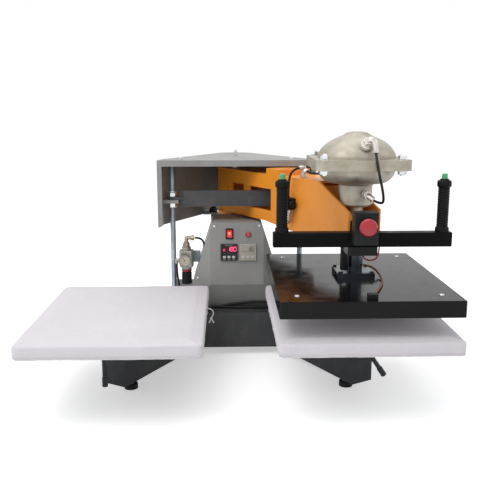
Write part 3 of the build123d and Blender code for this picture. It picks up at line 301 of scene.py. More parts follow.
metal("zinc_steel", (0.74, 0.76, 0.78), 0.30, (1, 1, 1), 500)
metal("ground_steel", (0.66, 0.66, 0.67), 0.24)
metal("link_steel", (0.45, 0.45, 0.46), 0.35, (1, 0.04, 1))
metal("shaft_steel", (0.065, 0.075, 0.090), 0.22)
metal("spring_steel", (0.35, 0.35, 0.36), 0.35)
metal("brass_fitting", (0.40, 0.35, 0.26), 0.44, (1, 1, 1), 300, 0.10, 0.30)
metal("thread_zinc", (0.34, 0.39, 0.43), 0.46, (1, 1, 1), 400, 0.10, 0.25)
metal("bush_brass", (0.60, 0.42, 0.18), 0.35)
metal("heat_plate_metal", (0.50, 0.50, 0.50), 0.38, (0.04, 1, 1))
metal("nickel", (0.62, 0.59, 0.55), 0.34, (1, 1, 1), 300, 0.12, 0.25)
metal("regulator_metal", (0.44, 0.425, 0.39), 0.48, (1, 1, 1), 260, 0.2, 0.25)
print("with bare metals", len(materials))


# %% Cast metal
def cast_metal(name, colour, rough):
    """Sand-cast skin: soft lumps, a fine grain and scattered pits."""
    s = Shader(name, rough, 1.0)
    cells = s.nodes.new("ShaderNodeTexVoronoi")
    cells.inputs["Scale"].default_value = 240
    s.links.new(s.space, cells.inputs["Vector"])
    pits = s.map(cells.outputs["Distance"], 0, 1, 0.02, 0.35)
    grain = s.noise(380, 4)
    stain = s.map(s.noise(22, 7), 0, 1, 0.35, 0.75)
    s.colour(s.mix(stain, shade(colour, 1.08), (colour[0] * 0.78, colour[1] * 0.75, colour[2] * 0.68)))
    s.rough(s.map(s.noise(46, 6), rough - 0.10, rough + 0.14))
    lumps = s.math("MULTIPLY", s.noise(55, 3), 1.6)
    fine = s.math("ADD", s.math("MULTIPLY", grain, 0.8), s.math("MULTIPLY", pits, 0.25))
    s.bump(s.math("ADD", lumps, fine), 0.75, 0.0009)


cast_metal("cast_aluminium", (0.42, 0.395, 0.34), 0.55)
print("with the casting", len(materials))

# %% [markdown]
# # Plastic, rubber and lamps
# Moulded parts have a fine spark-eroded texture and a slightly uneven gloss. The start buttons and
# the stop cap are shiny, and the rocker and pilot lamp glow because the machine is switched on. A
# glowing part is still a lens: the light is only added to it.


# %% Plastic recipe
def plastic(name, colour, rough, grain=800, depth=0.10, glow=0.0, coat=0.0, drift=0.08, specular=0.5):
    """Moulded plastic or rubber, which may glow or carry a clear coat."""
    s = Shader(name, rough)
    s.surface.inputs["Specular IOR Level"].default_value = specular
    s.colour(s.mix(s.map(s.noise(30, 5), 0, 1), shade(colour, 1 - drift), shade(colour, 1 + drift)))
    s.rough(s.map(s.noise(60, 5), rough - 0.05, rough + 0.09))
    s.bump(s.noise(grain, 3), depth)
    s.surface.inputs["Coat Weight"].default_value = coat
    if glow:
        s.surface.inputs["Emission Color"].default_value = (*colour, 1)
        s.surface.inputs["Emission Strength"].default_value = glow


# %% Plastics and rubbers
plastic("black_plastic", (0.012, 0.013, 0.013), 0.42, specular=0.2)
plastic("meter_plastic", (0.022, 0.022, 0.023), 0.38, specular=0.25)
plastic("timer_plastic", (0.40, 0.37, 0.31), 0.45)
plastic("display_window", (0.035, 0.012, 0.012), 0.16, depth=0.02, specular=0.25)
plastic("knob_plastic", (0.012, 0.012, 0.013), 0.38, specular=0.25)
plastic("hose_plastic", (0.010, 0.010, 0.011), 0.30, depth=0.05, specular=0.25)
plastic("cable_rubber", (0.012, 0.012, 0.013), 0.48, specular=0.25)
plastic("lead_red", (0.62, 0.035, 0.035), 0.35)
plastic("green_button", (0.03, 0.36, 0.15), 0.22, coat=0.5)
plastic("red_cap", (0.40, 0.018, 0.026), 0.32, coat=0.2)
plastic("red_lens", (0.80, 0.035, 0.03), 0.20, glow=0.30, drift=0.25)
plastic("gauge_face", (0.55, 0.52, 0.40), 0.25)
plastic("grip_rubber", (0.006, 0.006, 0.006), 0.50, grain=500, depth=0.25, specular=0.12)
plastic("foot_rubber", (0.012, 0.012, 0.013), 0.62, grain=400, depth=0.25, specular=0.2)
plastic("diaphragm_rubber", (0.03, 0.03, 0.03), 0.6, grain=400, depth=0.2)
plastic("heater_sleeve", (0.20, 0.085, 0.04), 0.6, grain=300, depth=0.4)
print("with plastics", len(materials))

# %% Lamps, displays and marks
plastic("segment_red", (1.0, 0.07, 0.20), 0.3, glow=1.6)
plastic("ink_black", (0.015, 0.015, 0.015), 0.5)
plastic("key_grey", (0.55, 0.55, 0.53), 0.45)
plastic("ring_red", (0.55, 0.03, 0.03), 0.35)
plastic("tape_white", (0.80, 0.80, 0.78), 0.5)
plastic("lcd_glass", (0.36, 0.35, 0.29), 0.15, depth=0.02)
plastic("pilot_red", (0.42, 0.012, 0.014), 0.14, glow=0.08, coat=0.8)
plastic("lens_spot", (1.0, 0.42, 0.40), 0.3, glow=0.5)
print("with displays", len(materials))

# %% [markdown]
# # Cloth
# The tables wear white cotton covers. Real threads are too fine to see from the camera, so two
# crossed waves, about 10 mm long on the covers, give the cloth its soft, uneven surface. A wide
# noise gives the faint grey of use, and sheen brightens the cloth at a shallow angle the way loose
# fibres do. The foam inside a cover can't be seen.


# %% Cloth recipe
def cloth(name, colour, wave_scale, depth, drift=0.06):
    """Woven or felted fibre: two crossed waves, a wide stain and a soft sheen."""
    s = Shader(name, 0.85)
    waves = []
    for stretch in ((1, 0.0, 0.35), (0.0, 1, 0.35)):
        wave = s.nodes.new("ShaderNodeTexWave")
        wave.inputs["Scale"].default_value = wave_scale
        wave.inputs["Distortion"].default_value = 0.6
        wave.inputs["Detail"].default_value = 1.0
        wave.bands_direction = "DIAGONAL"
        s.links.new(s.scaled(stretch), wave.inputs["Vector"])
        waves.append(wave.outputs["Fac"])
    weave = s.math("MULTIPLY", waves[0], waves[1])
    tone = s.mix(s.map(s.noise(5, 6), 0, 1), shade(colour, 1 - drift), shade(colour, 1 + drift / 2))
    s.colour(s.mix(s.map(s.noise(60, 5), 0, 0.5), tone, shade(colour, 0.93)))
    s.bump(s.math("ADD", weave, s.math("MULTIPLY", s.noise(26, 6), 2.0)), depth, 0.0003)
    s.surface.inputs["Sheen Weight"].default_value = 0.25
    s.surface.inputs["Sheen Roughness"].default_value = 0.5


cloth("cover_fabric", (0.69, 0.66, 0.70), 62.5, 0.8)
cloth("cord_cotton", (0.82, 0.81, 0.80), 125, 0.8)
cloth("pad_foam", (0.72, 0.66, 0.52), 50 / 3, 0.4)
cloth("wool", (0.62, 0.56, 0.42), 25, 0.8)
print("with cloth", len(materials))

# %% [markdown]
# # Floor finish, and a finish for each CAD node
# The floor has to look as white as the sky but still show the machine's shadow. It therefore glows a
# little for the rays that the camera, metal and glass send out, and not for the light it gives back.
# The CAD record names a material slot for each node, so a loop can dress them all.

# %% Floor finish
s = Shader("floor_paint", 0.75)
s.surface.inputs["Emission Color"].default_value = (1, 1, 1, 1)
ray = s.nodes.new("ShaderNodeLightPath").outputs
mirrored = s.math("MAXIMUM", ray["Is Glossy Ray"], ray["Is Transmission Ray"])
seen_white = s.math("MAXIMUM", ray["Is Camera Ray"], mirrored)
s.links.new(s.math("MULTIPLY", seen_white, 0.46), s.surface.inputs["Emission Strength"])
s.colour(s.mix(s.map(s.noise(1.5, 4), 0, 1), (0.93, 0.93, 0.93), (0.96, 0.96, 0.96)))
s.bump(s.noise(60, 4), 0.05)
floor_mesh.materials.append(materials["floor_paint"])
print("floor is", floor_mesh.materials[0].name)

# %% Finishes of the CAD nodes
for name, item in nodes.items():
    item.data.materials.clear()
    item.data.materials.append(materials[slot_of[name]])
missing = [slot for slot in slot_of.values() if slot not in materials]
print("all finishes", len(materials), "missing", missing)

# %% [markdown]
# # Tools for building pieces
# The CAD solids keep cords, threads, grips and cloth plain, so those are rebuilt here as meshes and
# curves. Four tools are enough: one skins a stack of rings, one turns a profile round an axis, one
# makes a small plate with soft edges, and one runs a smooth hose along a few points. Each new piece
# rides on the CAD body it belongs to, and the CAD node it stands for is hidden. Modifiers on simple
# blocks would give the same forms, but rows of numbers are easier to read off a photograph.


# %% Linking a piece
def link(item, body, replaces):
    """Puts an object in the scene on its body, and hides the nodes it stands for."""
    bpy.context.collection.objects.link(item)
    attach(item, body)
    if replaces:
        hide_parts(*replaces)
    return item


def add(name, shape, body, slot, finish=None, angle=35, replaces=()):
    """Makes a shape a piece: faces outward, soft shading, finish and body."""
    mesh = bpy.data.meshes.new(name)
    bmesh.ops.recalc_face_normals(shape, faces=shape.faces)
    shape.to_mesh(mesh)
    shape.free()
    for face in mesh.polygons:
        face.use_smooth = True
    mesh.set_sharp_from_angle(angle=math.radians(angle))
    mesh.materials.append(materials[finish or slot])
    return link(bpy.data.objects.new(name, mesh), body, replaces)


print("pieces can be linked")


# %% Rings, turned forms and plates
def frame_at(place, direction):
    """Matrix that puts local Z along a direction at a place."""
    turn = Vector(direction).to_track_quat("Z", "Y").to_matrix().to_4x4()
    return Matrix.Translation(Vector(place)) @ turn


def skin(shape, rings):
    """Joins rings of equal length with four-sided faces."""
    for lower, upper in zip(rings, rings[1:]):
        for step in range(len(lower)):
            nxt = (step + 1) % len(lower)
            shape.faces.new((lower[step], lower[nxt], upper[nxt], upper[step]))


def turn_profile(shape, profile, where, sides=32):
    """Adds a turned form: (radius, height) rows, a pole where the radius is 0."""
    rings = []
    for radius, height in profile:
        if radius == 0:
            rings.append([shape.verts.new(where @ Vector((0, 0, height)))])
            continue
        ring = []
        for step in range(sides):
            a = 2 * math.pi * step / sides
            ring.append(shape.verts.new(where @ Vector((radius * math.cos(a), radius * math.sin(a), height))))
        rings.append(ring)
    for lower, upper in zip(rings, rings[1:]):
        for step in range(sides):
            nxt = (step + 1) % sides
            corners = [lower[step % len(lower)], lower[nxt % len(lower)]]
            corners += [upper[nxt % len(upper)], upper[step % len(upper)]]
            unique = list(dict.fromkeys(corners))
            if len(unique) > 2:
                shape.faces.new(unique)


def nut(shape, where, radius, height):
    """Hexagon nut or bolt head with chamfered corners."""
    c = radius * 0.07
    profile = [(0, 0), (radius - c, 0), (radius, c), (radius, height - c), (radius - c, height), (0, height)]
    turn_profile(shape, profile, where, 6)


def washer(shape, where, inner, outer, low_z, thick, sides=28):
    profile = [(inner, low_z), (outer, low_z), (outer, low_z + thick), (inner, low_z + thick)]
    turn_profile(shape, profile, where, sides)


def plate(shape, centre, size, soft=0.0006, where=Matrix.Identity(4)):
    """Box with bevelled edges."""
    where = where @ Matrix.Translation(centre) @ Matrix.Diagonal((*size, 1))
    made = bmesh.ops.create_cube(shape, size=1.0, matrix=where)
    edges = {edge for vert in made["verts"] for edge in vert.link_edges}
    bmesh.ops.bevel(shape, geom=list(edges), offset=soft, segments=2, affect="EDGES", profile=0.5)


print("forms can be built")


# %% Hoses
def hose(name, points, radius, body, slot, replaces=(), finish=None):
    """Round hose along a smooth curve through its run of points."""
    data = bpy.data.curves.new(name, "CURVE")
    data.dimensions = "3D"
    spline = data.splines.new("NURBS")
    spline.points.add(len(points) - 1)
    for point, place in zip(spline.points, points):
        point.co = (*place, 1)
    spline.order_u = 3
    spline.use_endpoint_u = True
    spline.resolution_u = 12
    data.bevel_depth = radius
    data.bevel_resolution = 5
    data.use_fill_caps = True
    data.materials.append(materials[finish or slot])
    return link(bpy.data.objects.new(name, data), body, replaces)


print("hoses can be drawn")

# %% [markdown]
# # Places on the head and the arm
# Fittings sit on the head, whose centre is over the right table, and on the arm, which points there
# from the pivot. It is easier to measure them from those two lines than from the frame's middle, so
# two helpers carry such a place, in millimetres, into the frame.

# %% Places on the head and the arm
head_x, head_y, pivot_y = 0.281, -0.203, 0.294
park = math.atan2(head_x, pivot_y - head_y)


def at_head(x, y, z):
    """Point in millimetres from the head's centreline, in metres of the frame."""
    return (head_x + x / 1000, head_y + y / 1000, z / 1000)


def at_arm(x, reach, z):
    """Point in millimetres along the parked arm, in metres of the frame."""
    gx = x * math.cos(park) + reach * math.sin(park)
    gy = x * math.sin(park) - reach * math.cos(park)
    return (gx / 1000, pivot_y + gy / 1000, z / 1000)


print("press centre", at_head(0, 0, 250))

# %% [markdown]
# # Table covers
# Each table is a foam pad under a white cotton cover, pulled tight by a drawstring below. A tight
# cover is flat on top, rolls over a soft bevel and drops to a hem that is drawn in underneath, with
# small puckers along the hem and stronger ones on the inner side, where the string is. A cloth
# simulation would wrap it too, but the cover hardly moves away from the pad, so the form is drawn
# directly: a profile from hem to top is carried round a rounded outline, and small waves are added
# along the hem and in the corners. Every wave is computed, so the cover is the same each time.

# %% Outline and profile of a pad
cover_half = (0.202, 0.252)
pad_half = (0.197, 0.247)
cover_corner, pad_corner = 0.014, 0.012
cover_count, stitch_count, pad_count = 320, 420, 160
table_centre = (0.281, -0.213)


def outline(half, corner, count):
    """Points and outward directions round a rounded rectangle, evenly spaced."""
    hx, hy = half[0] - corner, half[1] - corner
    runs = [(hy * 2, 0), (corner * math.pi / 2, 1), (hx * 2, 0), (corner * math.pi / 2, 1)] * 2
    starts = [((half[0], -hy), 0), ((hx, hy), 0), ((hx, half[1]), 90), ((-hx, hy), 90),
              ((-half[0], hy), 180), ((-hx, -hy), 180), ((-hx, -half[1]), 270), ((hx, -hy), 270)]
    total = sum(length for length, _ in runs)
    points = []
    for step in range(count):
        left = total * step / count
        for (length, bent), (origin, angle) in zip(runs, starts):
            if left < length:
                break
            left -= length
        a = math.radians(angle)
        if bent:
            a += left / corner
            x = origin[0] + corner * math.cos(a)
            y = origin[1] + corner * math.sin(a)
        else:
            x = origin[0] - left * math.sin(a)
            y = origin[1] + left * math.cos(a)
        points.append((x, y, math.cos(a), math.sin(a)))
    return points


print("outline of a cover", len(outline(cover_half, cover_corner, cover_count)), "points")

# %% Profile of a cover
# Each row is a height and a distance in from the outline, from the edge below to the top.
cover_rows = [
    (0.1722, 0.024), (0.1716, 0.016), (0.1713, 0.008), (0.1716, 0.003), (0.1732, 0.0010),
    (0.1755, 0.0006), (0.1763, 0.0014), (0.1772, 0.0005), (0.1820, 0.0), (0.1880, 0.0),
    (0.1940, 0.0002), (0.1985, 0.0006), (0.2006, 0.0012), (0.2018, 0.0026), (0.2025, 0.0048),
    (0.2038, 0.0110), (0.2050, 0.0170), (0.2062, 0.0230), (0.2071, 0.0275), (0.2076, 0.0298),
    (0.2078, 0.0325), (0.2081, 0.0420), (0.2083, 0.0560),
]
print("cover rows", len(cover_rows))


# %% Waves in the cloth
def cloth_wave(side, x, y, nx, ny, inset, z):
    """Small move outward and upward of one point of a cover."""
    seed = Vector((x * 30 + side * 7, y * 30, z * 20))
    hem = max(0.0, min(1.0, (0.200 - z) / 0.028)) if inset < 0.01 else 0.15
    corner = abs(nx * ny) * 2
    along = nx * y - ny * x
    pucker = noise.noise(Vector((along * 120, z * 26, side * 3)))
    pull = 1.0 if nx * side < -0.5 else 0.0
    out = 0.0007 * noise.noise(seed) + hem * (0.0006 + 0.0020 * pull) * pucker
    out += corner * hem * 0.0011 * math.sin(math.atan2(ny, nx) * 22)
    up = 0.0007 * noise.noise(Vector((x * 11, y * 11, side))) + hem * 0.0008 * pucker
    return out, min(up, 0.0003)


print("wave at a corner", cloth_wave(-1, 0.2, -0.25, 0.7, -0.7, 0, 0.18))


# %% Cover cloth
def clamp_in(value, half, inset):
    return max(-half + inset, min(half - inset, value))


def cover_shape(side):
    """Cover as rings from its edge below the table to the middle of the top."""
    shape = bmesh.new()
    rings = []
    rows = [(z, inset, 1.0) for z, inset in cover_rows]
    top_z, top_inset = cover_rows[-1]
    rows += [(top_z, top_inset, share) for share in (0.86, 0.72, 0.58, 0.44, 0.30, 0.16, 0.06)]
    for z, inset, share in rows:
        ring = []
        for x, y, nx, ny in outline(cover_half, cover_corner, cover_count):
            px = (x - nx * inset) * share
            py = (y - ny * inset) * share
            if inset > cover_corner:
                px = clamp_in(x, cover_half[0], inset) * share
                py = clamp_in(y, cover_half[1], inset) * share
            out, up = cloth_wave(side, px, py, nx, ny, inset, z)
            out = (out - 0.0008) * (share == 1.0)
            ring.append(shape.verts.new((
                side * table_centre[0] + px + nx * out,
                table_centre[1] + py + ny * out,
                z + up,
            )))
        rings.append(ring)
    skin(shape, rings)
    shape.faces.new(rings[-1])
    return shape


# %% Hem stitches and foam pad
def stitch_shape(side):
    """A row of short threads just above the hem."""
    shape = bmesh.new()
    for x, y, nx, ny in outline(cover_half, cover_corner, stitch_count):
        place = (side * table_centre[0] + x - nx * 0.0013, table_centre[1] + y - ny * 0.0013, 0.1763)
        where = Matrix.Translation(place) @ Matrix.Rotation(math.atan2(ny, nx), 4, "Z")
        plate(shape, (0, 0, 0), (0.0006, 0.0026, 0.0006), 0.0002, where)
    return shape


pad_rows = [
    (0.1843, 0.008, 1), (0.1848, 0.002, 1), (0.190, 0.0, 1), (0.197, 0.001, 1), (0.2005, 0.007, 1),
    (0.2035, 0.020, 1), (0.2055, 0.034, 1), (0.2058, 0.060, 1), (0.2058, 0.060, 0.6), (0.2058, 0.060, 0.2),
]


def pad_shape(side):
    """Foam pad: height, inset and share of the outline for each ring."""
    shape = bmesh.new()
    rings = []
    for z, inset, share in pad_rows:
        ring = []
        for x, y, nx, ny in outline(pad_half, pad_corner, pad_count):
            px = clamp_in(x, pad_half[0], inset) * share
            py = clamp_in(y, pad_half[1], inset) * share
            wave = 0.0004 * noise.noise(Vector((px * 25, py * 25, side)))
            ring.append(shape.verts.new((side * table_centre[0] + px, table_centre[1] + py, z + wave)))
        rings.append(ring)
    skin(shape, rings)
    shape.faces.new(rings[-1])
    shape.faces.new(list(reversed(rings[0])))
    return shape


print("pad rows", len(pad_rows))


# %% Both tables
def make_cover(side, name, pad_name, node):
    """Covers one table; side is -1 for the left and 1 for the right."""
    shape = cover_shape(side)
    area = sum(face.calc_area() for face in shape.faces)
    cover = add(name, shape, "base", "cover_fabric", angle=80, replaces=(node,))
    seam = name + "_stitches"
    stitches = add(seam, stitch_shape(side), "base", "cord_cotton")
    pad = add(pad_name, pad_shape(side), "base", "pad_foam", angle=80)
    print(name, "cloth area", round(area, 4), "flat", round(0.504 * 0.604, 4))
    return pad


left_pad = make_cover(-1, "left_cover_cloth", "left_foam_pad", "left_table_cover")
make_cover(1, "right_cover_cloth", "right_foam_pad", "right_table_cover")
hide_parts("table_pads")

# %% [markdown]
# # Drawstring
# The left cover's string hangs out on the inner side in a small loose loop that ends in a knot. It
# is a real cord of fixed length, so its line is a smooth curve through a few points, and the knot
# is three tight turns of the same cord with two short ends below it. Each turn is a ring of short
# round lengths, and each ring is turned about 60 degrees from the last.

# %% Drawstring
string_x, string_y, string_z = -85.0, -75.0, 169.1
string_points = [
    (string_x / 1000, string_y / 1000, string_z / 1000),
    ((string_x + 14) / 1000, (string_y + 2) / 1000, (string_z - 2) / 1000),
    ((string_x + 22) / 1000, (string_y + 4) / 1000, (string_z - 16) / 1000),
    ((string_x + 14) / 1000, (string_y + 6) / 1000, (string_z - 28) / 1000),
]
string = hose("drawstring_cord", string_points, 0.0016, "base", "cord_cotton", ("drawstring",))
print("string points", len(string_points))

# %% Knot
knot_place = Vector(string_points[-1]) + Vector((-0.0005, 0.0002, -0.003))
shape = bmesh.new()
for turn in range(3):
    tilt = Matrix.Translation(knot_place) @ Matrix.Rotation(1.1 + turn * 1.05, 4, "Z")
    tilt = tilt @ Matrix.Rotation(1.2, 4, "X")
    for step in range(20):
        spoke = tilt @ Matrix.Rotation(2 * math.pi * step / 20, 4, "Z") @ Matrix.Translation((0.0024, 0, 0))
        spoke = spoke @ Matrix.Rotation(math.pi / 2, 4, "X")
        turn_profile(shape, [(0.0015, -0.0006), (0.0016, 0), (0.0015, 0.0006)], spoke, 8)
for dx, dy, dz in ((6, 3, -12), (-6, -1, -11)):
    tip = Vector((dx / 1000, dy / 1000, dz / 1000))
    end = tip.length
    profile = [(0.0, 0.0), (0.0015, 0.001), (0.0016, end * 0.7), (0.0021, end), (0.0, end + 0.0006)]
    turn_profile(shape, profile, frame_at(knot_place, tip), 10)
knot = add("drawstring_knot", shape, "base", "cord_cotton")
print("knot", [round(size * 1000, 1) for size in knot.dimensions], "mm")

# %% [markdown]
# # Tie rods
# Four tie rods carry the housing. The two in front show: zinc-plated, threaded below the lug and
# plain above it, with bright nuts on each side. The thread is a true helix, a grid of points whose
# distance from the axis follows a zigzag that climbs as it goes round. A bump map would do from far
# away, but close up a thread needs its edge.

# %% Front tie rods
rod_x, rod_y = 0.184, 0.122
thread_low, thread_high = 0.108, 0.414
pitch, sides, crest, root = 0.0025, 20, 0.0080, 0.0071
rows = int((thread_high - thread_low) / pitch * 4)
shape = bmesh.new()
for side in (-1, 1):
    centre = Matrix.Translation((side * rod_x, rod_y, 0))
    rings = []
    for row in range(rows + 1):
        z = thread_low + row * pitch / 4
        ring = []
        for step in range(sides):
            phase = (z / pitch - step / sides) % 1.0
            radius = root + (crest - root) * (1 - abs(2 * phase - 1))
            a = 2 * math.pi * step / sides
            ring.append(shape.verts.new(centre @ Vector((radius * math.cos(a), radius * math.sin(a), z))))
        rings.append(ring)
    skin(shape, rings)
    turn_profile(shape, [(0.0079, thread_high), (0.0079, 0.5440), (0.0070, 0.5455), (0, 0.5455)], centre, 28)
add("threaded_front_rods", shape, "base", "zinc_steel", "thread_zinc", replaces=("front_tie_rods",))
print("thread rows", rows)

# %% Nuts and washers of the front rods
shape = bmesh.new()
for side in (-1, 1):
    centre = Matrix.Translation((side * rod_x, rod_y, 0))
    for low_z in (0.124, 0.414, 0.445):
        turned = Matrix.Rotation(0.3 * side + low_z, 4, "Z")
        nut(shape, centre @ Matrix.Translation((0, 0, low_z)) @ turned, 0.013, 0.0125)
    washer(shape, centre, 0.0079, 0.0155, 0.4595, 0.0018)
add("front_rod_nuts", shape, "base", "zinc_steel")
print("nuts on the front rods", 2 * 3)

# %% [markdown]
# # Handle grips
# The operator holds two black rubber grips with a start button on top of each. They are turned
# forms: a collar below, a barrel of soft rings for the fingers, and a wider cap that guards the
# button. Rings drawn as rounded waves catch the light in stripes, as rubber does.

# %% Grips
grip_x, grip_y, grip_z, grip_rings = 184, -94.5, 413, 15
collar = [(0.0092, 0), (0.0150, 0), (0.0156, 0.002), (0.0156, 0.0085), (0.0146, 0.0105), (0.0128, 0.0120)]
wave = [(0.0122, 0.0006), (0.0131, 0.0018), (0.0135, 0.0030), (0.0131, 0.0042), (0.0122, 0.0054)]
guard = [
    (0.0128, 0.1015), (0.0152, 0.1035), (0.0160, 0.1055), (0.0160, 0.1130), (0.0150, 0.1165),
    (0.0120, 0.1180), (0.0100, 0.1182), (0.0099, 0.1205), (0.0092, 0.1210), (0.0070, 0.1210),
    (0.0070, 0.1130),
]
barrel = []
for ring in range(grip_rings):
    low_z = 0.0125 + ring * 0.0059
    barrel += [(radius, low_z + height) for radius, height in wave]
shape = bmesh.new()
for side in (-1, 1):
    where = Matrix.Translation(at_head(side * grip_x, grip_y, grip_z))
    turn_profile(shape, collar + barrel + guard, where, 40)
add("ribbed_grips", shape, "head", "grip_rubber", angle=60, replaces=("grips",))
print("grip rings", grip_rings)

# %% [markdown]
# # Hoses and wires
# Black air hoses feed the actuator, a red wire loops out of the stop box, a brown sleeved cable
# feeds the heater and black cables lie on the base. All are held at both ends. They are drawn as
# smooth curves with a round section, which is what a bent hose is; a chain of straight tubes would
# show its corners.

# %% Air hoses of the actuator
hose("actuator_hose", [
    at_head(24.0, -99.4, 594.5), at_head(25.0, -106, 580), at_head(27.0, -119, 556),
    at_head(48.0, -96, 490), at_head(47.0, -80, 473), at_head(31.2, -62.2, 480.8),
], 0.0030, "arm", "hose_plastic", ("air_hoses",))
hose("valve_hose", [
    at_arm(-44, 398, 541), at_arm(-66, 396, 537), at_arm(-68, 386, 499), at_arm(-64, 382, 466),
], 0.0030, "arm", "hose_plastic")
hose("feed_hose", [
    at_arm(-28, 414, 533), at_arm(-27, 440, 527), at_arm(-20, 489, 532),
], 0.0030, "arm", "hose_plastic")
print("air hoses", 3)

# %% Wires of the head and the platen
hose("stop_box_wire", [
    at_head(41, -95, 380), at_head(41, -95, 352), at_head(27, -66, 338), at_head(14, -40, 340),
    at_head(14, -40, 360),
], 0.0018, "head", "lead_red", ("red_lead",))
hose("heater_lead", [
    at_head(23.2, -4, 315), at_head(46, -10, 313), at_head(62, -34, 294.4), at_head(48, -120, 294.2),
    at_head(8, -206, 294.2),
], 0.0026, "platen", "heater_sleeve", ("heater_cable",))
print("wires", 2)

# %% Cables and air lines of the base
hose("base_cable_front", [
    (-0.075, 0.084, 0.1277), (0, 0.072, 0.1277), (0.1, 0.066, 0.1277), (0.17, 0.092, 0.1277),
], 0.0035, "base", "cable_rubber", ("base_cables",))
hose("base_cable_back", [
    (-0.04, 0.092, 0.1277), (0.045, 0.084, 0.1435), (0.11, 0.082, 0.1355), (0.168, 0.108, 0.1277),
], 0.0035, "base", "cable_rubber")
hose("regulator_loop", [
    (-0.1214, 0.112, 0.326), (-0.1, 0.112, 0.326), (-0.092, 0.112, 0.298), (-0.092, 0.112, 0.262),
], 0.0030, "base", "hose_plastic", ("regulator_hoses",))
hose("regulator_line", [
    (-0.174, 0.104, 0.2518), (-0.174, 0.104, 0.222), (-0.166, 0.096, 0.182), (-0.16, 0.098, 0.1255),
], 0.0030, "base", "hose_plastic")
print("cables and lines", 4)

# %% [markdown]
# # Panel meters and lights
# The temperature controller shows red digits behind a dark window, the timer has a pale liquid
# crystal window, and both have three keys. Digits are made from seven thin bars each, glowing on
# the controller and dark on the timer, and they stay sharp in a close view. Only plain numbers are
# drawn. The meters keep their CAD cases.

# %% Seven-bar digits
segments_of = {"0": "abcdef", "1": "bc", "5": "acdfg", "8": "abcdefg"}


def digit(shape, text, x, z, height, y, depth=0.0003):
    """Seven-bar number with its lower left corner at (x, z)."""
    width = height * 0.55
    thick = height * 0.13
    bars = {
        "a": (0.5, 1.0, 1), "g": (0.5, 0.5, 1), "d": (0.5, 0.0, 1),
        "f": (0.0, 0.75, 0), "b": (1.0, 0.75, 0), "e": (0.0, 0.25, 0), "c": (1.0, 0.25, 0),
    }
    for bar in segments_of[text]:
        u, v, flat = bars[bar]
        size = (width * 0.86, depth, thick) if flat else (thick, depth, height * 0.44)
        plate(shape, (x + u * width + v * height * 0.08, y, z + v * height), size, depth * 0.3)


print("digits", sorted(segments_of))

# %% Windows of both meters
front_y, meter_z = 0.067, 0.292
window_z, key_step = meter_z + 0.0100, 0.013
controller_x, timer_x = -0.0225, 0.031
window_y = front_y - 0.0059
window_size = (0.0376, 0.0008, 0.0172)
shape = bmesh.new()
plate(shape, (controller_x, window_y + 0.0003, window_z), window_size, 0.0002)
add("controller_window", shape, "base", "display_window", replaces=("display_windows",))
shape = bmesh.new()
plate(shape, (timer_x, window_y + 0.0003, window_z), window_size, 0.0002)
add("timer_window", shape, "base", "display_window", "lcd_glass")
print("windows", [round(size * 1000, 1) for size in window_size], "mm")

# %% Numbers on the displays
shape = bmesh.new()
for index, text in enumerate("180"):
    digit(shape, text, -0.0275 + index * 0.0090, meter_z + 0.0040, 0.0120, window_y - 0.0003)
digit(shape, "0", -0.0385, meter_z + 0.0042, 0.0062, window_y - 0.0003)
add("controller_digits", shape, "base", "display_window", "segment_red")
shape = bmesh.new()
for index, text in enumerate("15"):
    digit(shape, text, 0.0290 + index * 0.0080, meter_z + 0.0048, 0.0095, window_y - 0.0003)
for index in range(9):
    mark_x = 0.0165 + index * 0.0036
    plate(shape, (mark_x, window_y - 0.0002, meter_z + 0.0030), (0.0018, 0.0003, 0.0006), 0.0001)
add("timer_digits", shape, "base", "display_window", "ink_black")
print("numbers on", 2, "displays")

# %% Keys and marks of the meters
shape = bmesh.new()
for x in (controller_x, timer_x):
    for index in range(3):
        key_x = x + (index - 1) * key_step
        plate(shape, (key_x, front_y - 0.0070, meter_z - 0.0130), (0.0082, 0.0008, 0.0070), 0.0004)
add("meter_keys", shape, "base", "timer_plastic", "key_grey")
shape = bmesh.new()
for x in (controller_x, timer_x):
    for index in range(3):
        key_x = x + (index - 1) * key_step
        plate(shape, (key_x, front_y - 0.0062, meter_z - 0.0205), (0.0060, 0.0005, 0.0009), 0.0002)
    plate(shape, (x, front_y - 0.0062, meter_z + 0.0210), (0.0200, 0.0005, 0.0008), 0.0002)
add("meter_marks", shape, "base", "timer_plastic", "key_grey")
print("keys", 2 * 3)

# %% Pilot lamp and rocker
nodes["pilot_light"].data.materials[0] = materials["pilot_red"]
rocker_front = min(vert.co.y for vert in nodes["rocker"].data.vertices)
shape = bmesh.new()
plate(shape, (-0.021, rocker_front + 0.0004, 0.3465), (0.0050, 0.0014, 0.0070), 0.0005)
add("rocker_spot", shape, "rocker", "red_lens", "lens_spot")
print("rocker front at", round(rocker_front, 4))

# %% [markdown]
# # Air regulator
# The regulator hangs beside the panel: a grey casting with a round gauge, a black knob with a red
# ring below it and a brass elbow on top. The gauge gets a rim, a cream dial with ticks, and a
# needle. The elbow is a bent tube between two nuts, smoother than its CAD solid.

